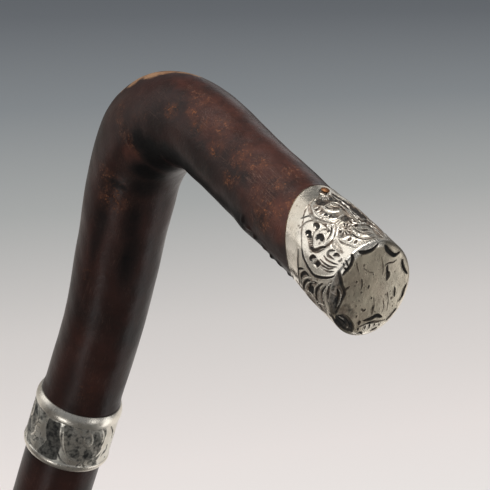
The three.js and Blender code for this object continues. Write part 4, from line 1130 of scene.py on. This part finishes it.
def material(name):
    """New material with one plain shader, and the piece's own coordinates."""
    made = bpy.data.materials.new(name)
    made.use_nodes = True
    made.node_tree.nodes.clear()
    nodes = Nodes(made.node_tree)
    shader = nodes.add("ShaderNodeBsdfPrincipled")
    nodes.add("ShaderNodeOutputMaterial", {"Surface": shader})
    where = nodes.add("ShaderNodeTexCoord").outputs["Object"]
    return made, nodes, shader, where


def use(nodes, tree, inputs):
    """Outputs of a shared group, placed with its inputs set."""
    node = nodes.add("ShaderNodeGroup", node_tree=tree)
    for key, value in inputs.items():
        nodes.feed(node.inputs[key], value)
    return node.outputs


def scratches():
    """Mask of fine scratches that run mostly one way, and a finer haze between them."""
    tree, nodes, taken, given = group("fine_scratches", [
        ("Where", "NodeSocketVector", None), ("Amount", "NodeSocketFloat", 0.5)],
        [("Lines", "NodeSocketFloat"), ("Haze", "NodeSocketFloat")])
    where = taken["Where"]
    lines = None
    for scale, turn in (((2600, 2600, 90), (0.1, 0.06, 0)),
                        ((1500, 1500, 70), (0.35, 0.2, 0.4)),
                        ((90, 1700, 1700), (0.2, 0.5, 0.3))):
        thread = nodes.noise(nodes.stretched(where, scale, turn), 1.0, 1.0)
        near = nodes.math("ABSOLUTE", nodes.minus(thread, 0.5))
        gate = nodes.spread(nodes.noise(where, 170.0 + scale[0] * 0.01), 0.5, 0.62)
        line = nodes.times(nodes.spread(near, 0.018, 0.0), gate)
        lines = line if lines is None else nodes.larger(lines, line)
    nodes.feed(given.inputs["Lines"], nodes.times(lines, taken["Amount"]))
    haze = nodes.noise(nodes.stretched(where, (1, 1, 0.12)), 1400.0, 4.0, 0.7)
    nodes.feed(given.inputs["Haze"], haze)
    return tree


def pits():
    """Mask of small scattered pits."""
    tree, nodes, taken, given = group("small_pits", [
        ("Where", "NodeSocketVector", None), ("Scale", "NodeSocketFloat", 500.0),
        ("Share", "NodeSocketFloat", 0.5)], [("Pits", "NodeSocketFloat")])
    cells = nodes.add("ShaderNodeTexVoronoi",
                      {"Vector": taken["Where"], "Scale": taken["Scale"]})
    dots = nodes.spread(cells.outputs["Distance"], 0.3, 0.12)
    chosen = nodes.add("ShaderNodeSeparateColor", {0: cells.outputs["Color"]})
    gate = nodes.math("LESS_THAN", chosen.outputs[0], taken["Share"])
    nodes.feed(given.inputs["Pits"], nodes.times(dots, gate))
    return tree


fine_scratches = scratches()
small_pits = pits()

# The first colour on the next line is for polish and painted highlights
highlight_silver, soot = (0.95, 0.88, 0.77), (0.019, 0.019, 0.018)
# The first colour on the next line is redder wood, partly a painted sheen
ruddy_sheen_wood, smeared_wood = (0.092, 0.03, 0.02), (0.16, 0.055, 0.026)
# The second colour on the next line is painted shade, near black
scuffed_wood, shade_black = (0.34, 0.2, 0.15), (0.002, 0.0016, 0.0017)
bare_wood, bare_grain = (0.34, 0.19, 0.1), (0.17, 0.075, 0.035)


def silver(name, pale, warm, tarnish, roughness, pit_share, line_amount):
    """Silver with tarnish in what is cut, and painted shade where soft tones darken it. Its
    polished places and painted highlights are paler and smoother.
    """
    made, nodes, shader, where = material(name)
    polish_and_highlight, dark, matt = map(nodes.mark, ("polish_and_highlight", "dark", "matt"))
    patchy = nodes.spread(nodes.noise(where, 700.0, 3.0, 0.6), 0.36, 0.64, -1.3, 1.3)
    between = nodes.times(dark, nodes.minus(1.0, dark))
    dark = nodes.plus(dark, nodes.times(patchy, between))
    worn = use(nodes, fine_scratches, {"Where": where, "Amount": line_amount})
    dots = use(nodes, small_pits, {"Where": where, "Scale": 560.0, "Share": pit_share})[0]
    punched = nodes.times(matt, nodes.spread(nodes.noise(where, 2600.0, 2.0), 0.35, 0.6))
    shade = dark
    for mask, weight in ((punched, 0.55), (dots, 0.8), (worn["Lines"], 0.55)):
        shade = nodes.larger(shade, nodes.times(mask, weight))
    stain = nodes.spread(nodes.noise(where, 130.0, 4.0, 0.6), 0.42, 0.72)
    # Paler where polished and where a highlight is painted
    body = nodes.blend(polish_and_highlight, nodes.blend(stain, pale, warm), highlight_silver)
    browner = nodes.times(nodes.spread(nodes.noise(where, 420.0, 4.0, 0.7), 0.38, 0.58),
                          nodes.spread(dark, 0.86, 1.0, 1.0, 0.12))
    tint = nodes.blend(browner, soot, tarnish)
    nodes.feed(shader.inputs["Base Color"], nodes.blend(shade, body, tint))
    nodes.feed(shader.inputs["Metallic"], nodes.spread(shade, 0.4, 1.0, 1.0, 0.25))
    shader.inputs["Specular IOR Level"].default_value = 0.2
    rough = nodes.spread(worn["Haze"], 0.3, 0.7, roughness - 0.06, roughness + 0.08)
    rough = nodes.plus(rough, nodes.times(shade, 0.35))
    nodes.feed(shader.inputs["Roughness"], nodes.minus(rough, nodes.times(polish_and_highlight, 0.1)))
    height = nodes.plus(nodes.times(worn["Haze"], 0.12),
                        nodes.times(nodes.noise(where, 320.0, 3.0), 0.9))
    for mask, depth in ((dots, 0.6), (worn["Lines"], 0.4), (punched, 0.5)):
        height = nodes.minus(height, nodes.times(mask, depth))
    nodes.relief(shader, height, 0.35, 0.00025)
    return made


def wood(name, deep, red, fleck):
    """Dark stained wood under wax, worn to lighter wood where it is handled. Painted shade
    darkens the crook and underside to near black, and the redder patches are partly a painted
    sheen.
    """
    made, nodes, shader, where = material(name)
    painted_shade, ruddy_and_sheen, worn, bare, scuffed = map(nodes.mark, ("painted_shade", "ruddy_and_sheen", "worn", "bare",
                                                         "scuffed"))
    grain = nodes.noise(nodes.stretched(where, (1, 1, 0.08)), 260.0, 5.0, 0.6)
    cloud = nodes.noise(where, 60.0, 4.0, 0.6)
    ragged = nodes.spread(nodes.noise(where, 240.0, 5.0, 0.7), 0.3, 0.7, -0.35, 0.35)

    def ragged_mask(mark, raggedness, low, high):
        return nodes.spread(nodes.plus(nodes.times(ragged, raggedness), mark), low, high)

    gather = nodes.spread(nodes.noise(where, 75.0, 2.0), 0.58, 0.72, 0, 0.2)
    gather = nodes.larger(gather, worn)
    smear = nodes.spread(nodes.noise(where, 420.0, 6.0, 0.75), 0.46, 0.66)
    chips = nodes.spread(nodes.noise(where, 1100.0, 5.0, 0.75), 0.56, 0.7)
    smear, chips = nodes.times(smear, gather), nodes.times(chips, gather)
    lines = use(nodes, fine_scratches, {"Where": where, "Amount": 1.0})["Lines"]
    scuff = nodes.times(lines, nodes.plus(nodes.times(scuffed, 0.3), 0.08))
    shaded = ragged_mask(painted_shade, 0.5, 0.1, 0.9)
    body = nodes.blend(nodes.spread(cloud, 0.35, 0.68), deep, red)
    # Redder wood, partly a painted sheen along the arm
    body = nodes.blend(nodes.times(ragged_mask(ruddy_and_sheen, 0.7, 0.15, 1.0), 0.85), body, ruddy_sheen_wood)
    darkest = tuple(share * 0.45 for share in deep)
    body = nodes.blend(nodes.spread(grain, 0.5, 0.8, 0, 0.5), body, darkest)
    body = nodes.blend(scuff, body, scuffed_wood)
    body = nodes.blend(nodes.times(smear, 0.6), body, smeared_wood)
    body = nodes.blend(nodes.times(chips, 0.75), body, fleck)
    # Painted shade: the crook and underside darkened to near black
    body = nodes.blend(nodes.times(shaded, 0.96), body, shade_black)
    bared = nodes.blend(nodes.spread(grain, 0.35, 0.65), bare_wood, bare_grain)
    body = nodes.blend(ragged_mask(bare, 0.9, 0.45, 0.8), body, bared)
    nodes.feed(shader.inputs["Base Color"], body)
    rough = nodes.spread(nodes.noise(where, 90.0, 4.0, 0.6), 0.3, 0.7, 0.27, 0.42)
    nodes.feed(shader.inputs["Roughness"], nodes.plus(rough, nodes.times(shaded, 0.2)))
    shader.inputs["Specular IOR Level"].default_value = 0.2
    height = nodes.plus(nodes.times(grain, 0.5), nodes.noise(where, 900.0, 3.0))
    for mask, depth in ((chips, 1.4), (scuff, 1.2)):
        height = nodes.minus(height, nodes.times(mask, depth))
    nodes.relief(shader, height, 0.3, 0.0002)
    return made


def plain_metal(name, body, stain, roughness, metallic=1.0):
    """Dull metal, or resin where metallic is 0, clouded with a stain."""
    made, nodes, shader, where = material(name)
    worn = use(nodes, fine_scratches, {"Where": where, "Amount": 0.6})
    cloud = nodes.spread(nodes.noise(where, 150.0, 4.0, 0.65), 0.4, 0.7)
    nodes.feed(shader.inputs["Base Color"], nodes.blend(cloud, body, stain))
    shader.inputs["Metallic"].default_value = metallic
    rough = nodes.spread(cloud, 0, 1, roughness, roughness + 0.25)
    nodes.feed(shader.inputs["Roughness"], rough)
    height = nodes.minus(nodes.noise(where, 700.0, 3.0), worn["Lines"])
    nodes.relief(shader, height, 0.3, 0.0002)
    return made


def dress(piece, made):
    """Give a piece, or a solid by its name, its one material."""
    if isinstance(piece, str):
        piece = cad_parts[piece]
    piece.data.materials.clear()
    piece.data.materials.append(made)


dress(cap_sleeve, silver(
    "engraved_silver", pale=(0.7, 0.64, 0.54), warm=(0.58, 0.5, 0.4),
    tarnish=(0.125, 0.074, 0.045), roughness=0.26, pit_share=0.12, line_amount=0.5))
# Painted shade: the end plate's silver is given a far darker colour than the sleeve's, for the
# shade on its face
dress(end_plate, silver(
    "satin_silver_shaded", pale=(0.34, 0.3, 0.228), warm=(0.28, 0.232, 0.175),
    tarnish=(0.12, 0.085, 0.06), roughness=0.3, pit_share=0.12, line_amount=0.9))
dress(collar, silver(
    "collar_silver_worn", pale=(0.82, 0.79, 0.71), warm=(0.62, 0.56, 0.47),
    tarnish=(0.04, 0.042, 0.036), roughness=0.36, pit_share=0.08, line_amount=0.4))
stained = wood("stained_wood", deep=(0.014, 0.0075, 0.0062), red=(0.036, 0.013, 0.0095),
               fleck=(0.48, 0.17, 0.055))
dress(handle, stained)
dress(shaft, stained)
dress("joint_stud", plain_metal("stud_steel_grey", (0.45, 0.45, 0.46), (0.3, 0.28, 0.26), 0.35))
dress("cap_cement", plain_metal("cement_resin", (0.16, 0.08, 0.045), (0.09, 0.05, 0.03), 0.55,
                                metallic=0.0))
dress("cap_pin", plain_metal("pin_brass_worn", (0.25, 0.115, 0.052), (0.16, 0.06, 0.03), 0.45))
dress("ferrule_pin", plain_metal("pin_brass_dull", (0.55, 0.36, 0.16), (0.3, 0.19, 0.09), 0.4))
dress(ferrule, plain_metal("ferrule_brass_worn", (0.58, 0.39, 0.16), (0.36, 0.24, 0.11), 0.3))
dress(tip, plain_metal("tip_iron_dark", (0.2, 0.19, 0.18), (0.12, 0.085, 0.06), 0.45))


# Floor, light and camera

def floor():
    """Pale paper with painted shade that greys it towards one far corner, and more so in what
    the metal mirrors, a painted dark reflection.
    """
    mesh = bpy.data.meshes.new("floor")
    shape = bmesh.new()
    bmesh.ops.create_circle(shape, cap_ends=True, segments=96, radius=9)
    shape.to_mesh(mesh)
    shape.free()
    ground = bpy.data.objects.new("floor", mesh)
    bpy.context.scene.collection.objects.link(ground)
    made, nodes, shader, where = material("floor_paper_painted_falloff")
    place = nodes.add("ShaderNodeSeparateXYZ", {0: where}).outputs
    mirrored = nodes.add("ShaderNodeLightPath").outputs["Is Glossy Ray"]
    side = nodes.larger(nodes.spread(place["Y"], 0.0, 0.7), nodes.times(mirrored, 0.6))
    behind = nodes.times(nodes.spread(place["X"], -0.7, -1.8), side)
    # Painted shade: the floor's light falling off towards one far corner
    painted_falloff = nodes.ramp(behind, [
        (0, (0.86, 0.82, 0.79)), (0.14, (0.82, 0.76, 0.73)), (0.32, (0.66, 0.625, 0.60)),
        (0.5, (0.405, 0.41, 0.4)), (0.68, (0.24, 0.255, 0.265)), (0.86, (0.14, 0.15, 0.162)),
        (1, (0.105, 0.113, 0.123))])
    away = nodes.add("ShaderNodeVectorMath", {0: where, 1: (-0.74, 0.67, 0)},
                     operation="DOT_PRODUCT").outputs["Value"]
    warmer = nodes.ramp(behind, [
        (0, (0.86, 0.815, 0.77)), (0.32, (0.66, 0.62, 0.575)), (0.5, (0.42, 0.395, 0.36)),
        (0.86, (0.16, 0.147, 0.13)), (1, (0.12, 0.11, 0.1))])
    # Painted dark reflection: the floor as the metal mirrors it, darker on one side
    mirrored_shade = nodes.blend(nodes.spread(away, 0.03, 0.65), (0.1, 0.095, 0.09), warmer)
    nodes.feed(shader.inputs["Base Color"], nodes.blend(mirrored, painted_falloff, mirrored_shade))
    shader.inputs["Roughness"].default_value = 0.9
    shader.inputs["Specular IOR Level"].default_value = 0.0
    mesh.materials.append(made)
    ground.location.z = -0.0005


def lamp(name, place, aim, width, height, power, roll=0.0):
    """Soft rectangular lamp that the camera doesn't see."""
    data = bpy.data.lights.new(name, "AREA")
    data.shape = "RECTANGLE"
    data.size, data.size_y = width, height
    data.energy = power
    source = bpy.data.objects.new(name, data)
    source.location = place
    facing = (Vector(aim) - Vector(place)).to_track_quat("-Z", "Y")
    source.rotation_euler = (facing @ Quaternion((0, 0, 1), radians(roll))).to_euler()
    source.visible_camera = False
    bpy.context.scene.collection.objects.link(source)


def camera():
    """Camera at the photograph's angle, from a point whose place in the picture is known."""
    azimuth, elevation, roll = radians(47.447), radians(27.575), radians(18.372)
    point, picture = Vector((0.0942, 0, 0.878)), (371.846, 290.039)
    distance, focal, sensor, frame_size = 0.612096, 2514, 36, 490
    level_run = cos(elevation)
    back = Vector((sin(azimuth) * level_run, -cos(azimuth) * level_run, sin(elevation)))
    level = Vector((cos(azimuth), sin(azimuth), 0))
    rise = back.cross(level)
    right = level * cos(roll) + rise * sin(roll)
    up = rise * cos(roll) - level * sin(roll)
    across = (picture[0] - frame_size / 2) * distance / focal
    upward = (frame_size / 2 - picture[1]) * distance / focal
    data = bpy.data.cameras.new("camera")
    data.sensor_width = sensor
    data.lens = sensor * focal / frame_size
    data.clip_start = 0.01
    eye = bpy.data.objects.new("camera", data)
    place = point - across * right - upward * up + distance * back
    turn = Matrix((right, up, back)).transposed().to_4x4()
    eye.matrix_world = Matrix.Translation(place) @ turn
    bpy.context.scene.collection.objects.link(eye)
    bpy.context.scene.camera = eye


def light():
    """Faint room light, a soft ceiling and lamps aimed at the handle."""
    world = bpy.data.worlds.new("room")
    world.use_nodes = True
    background = world.node_tree.nodes["Background"]
    background.inputs["Strength"].default_value = 0.2
    nodes = Nodes(world.node_tree)
    direct = nodes.add("ShaderNodeLightPath").outputs["Is Camera Ray"]
    nodes.feed(background.inputs["Color"],
               nodes.blend(direct, (0.88, 0.92, 0.97), (4.1, 3.95, 3.8)))
    bpy.context.scene.world = world
    data = bpy.data.lights.new("ceiling", "SUN")
    data.energy = 2.3
    data.angle = radians(50)
    ceiling = bpy.data.objects.new("ceiling", data)
    ceiling.rotation_euler = (radians(6), radians(-8), 0)
    bpy.context.scene.collection.objects.link(ceiling)
    cap = (0.09, 0, 0.87)
    lamp("front_left", (-0.77, -0.63, 1.28), cap, 0.75, 1.3, 2.9, 23)
    lamp("side", (0.95, 0.2, 0.9), cap, 0.3, 0.3, 0.3)
    lamp("front_low", (-0.72, -0.66, 0.5), cap, 0.7, 0.5, 0.3)
    lamp("rear_left", (-0.8, 0.85, 1.08), cap, 0.3, 0.45, 0.35)
    lamp("right", (0.68, 0.75, 0.55), (0.03, 0, 0.75), 0.35, 0.85, 1.3)
    lamp("top_front", (0.33, -0.6, 1.95), cap, 0.7, 0.7, 2.6)
    lamp("low_front", (0.38, -0.83, 0.3), (0, 0, 0.78), 0.3, 0.3, 0.8)


floor()
light()
camera()
bpy.context.scene.view_settings.view_transform = "Standard"
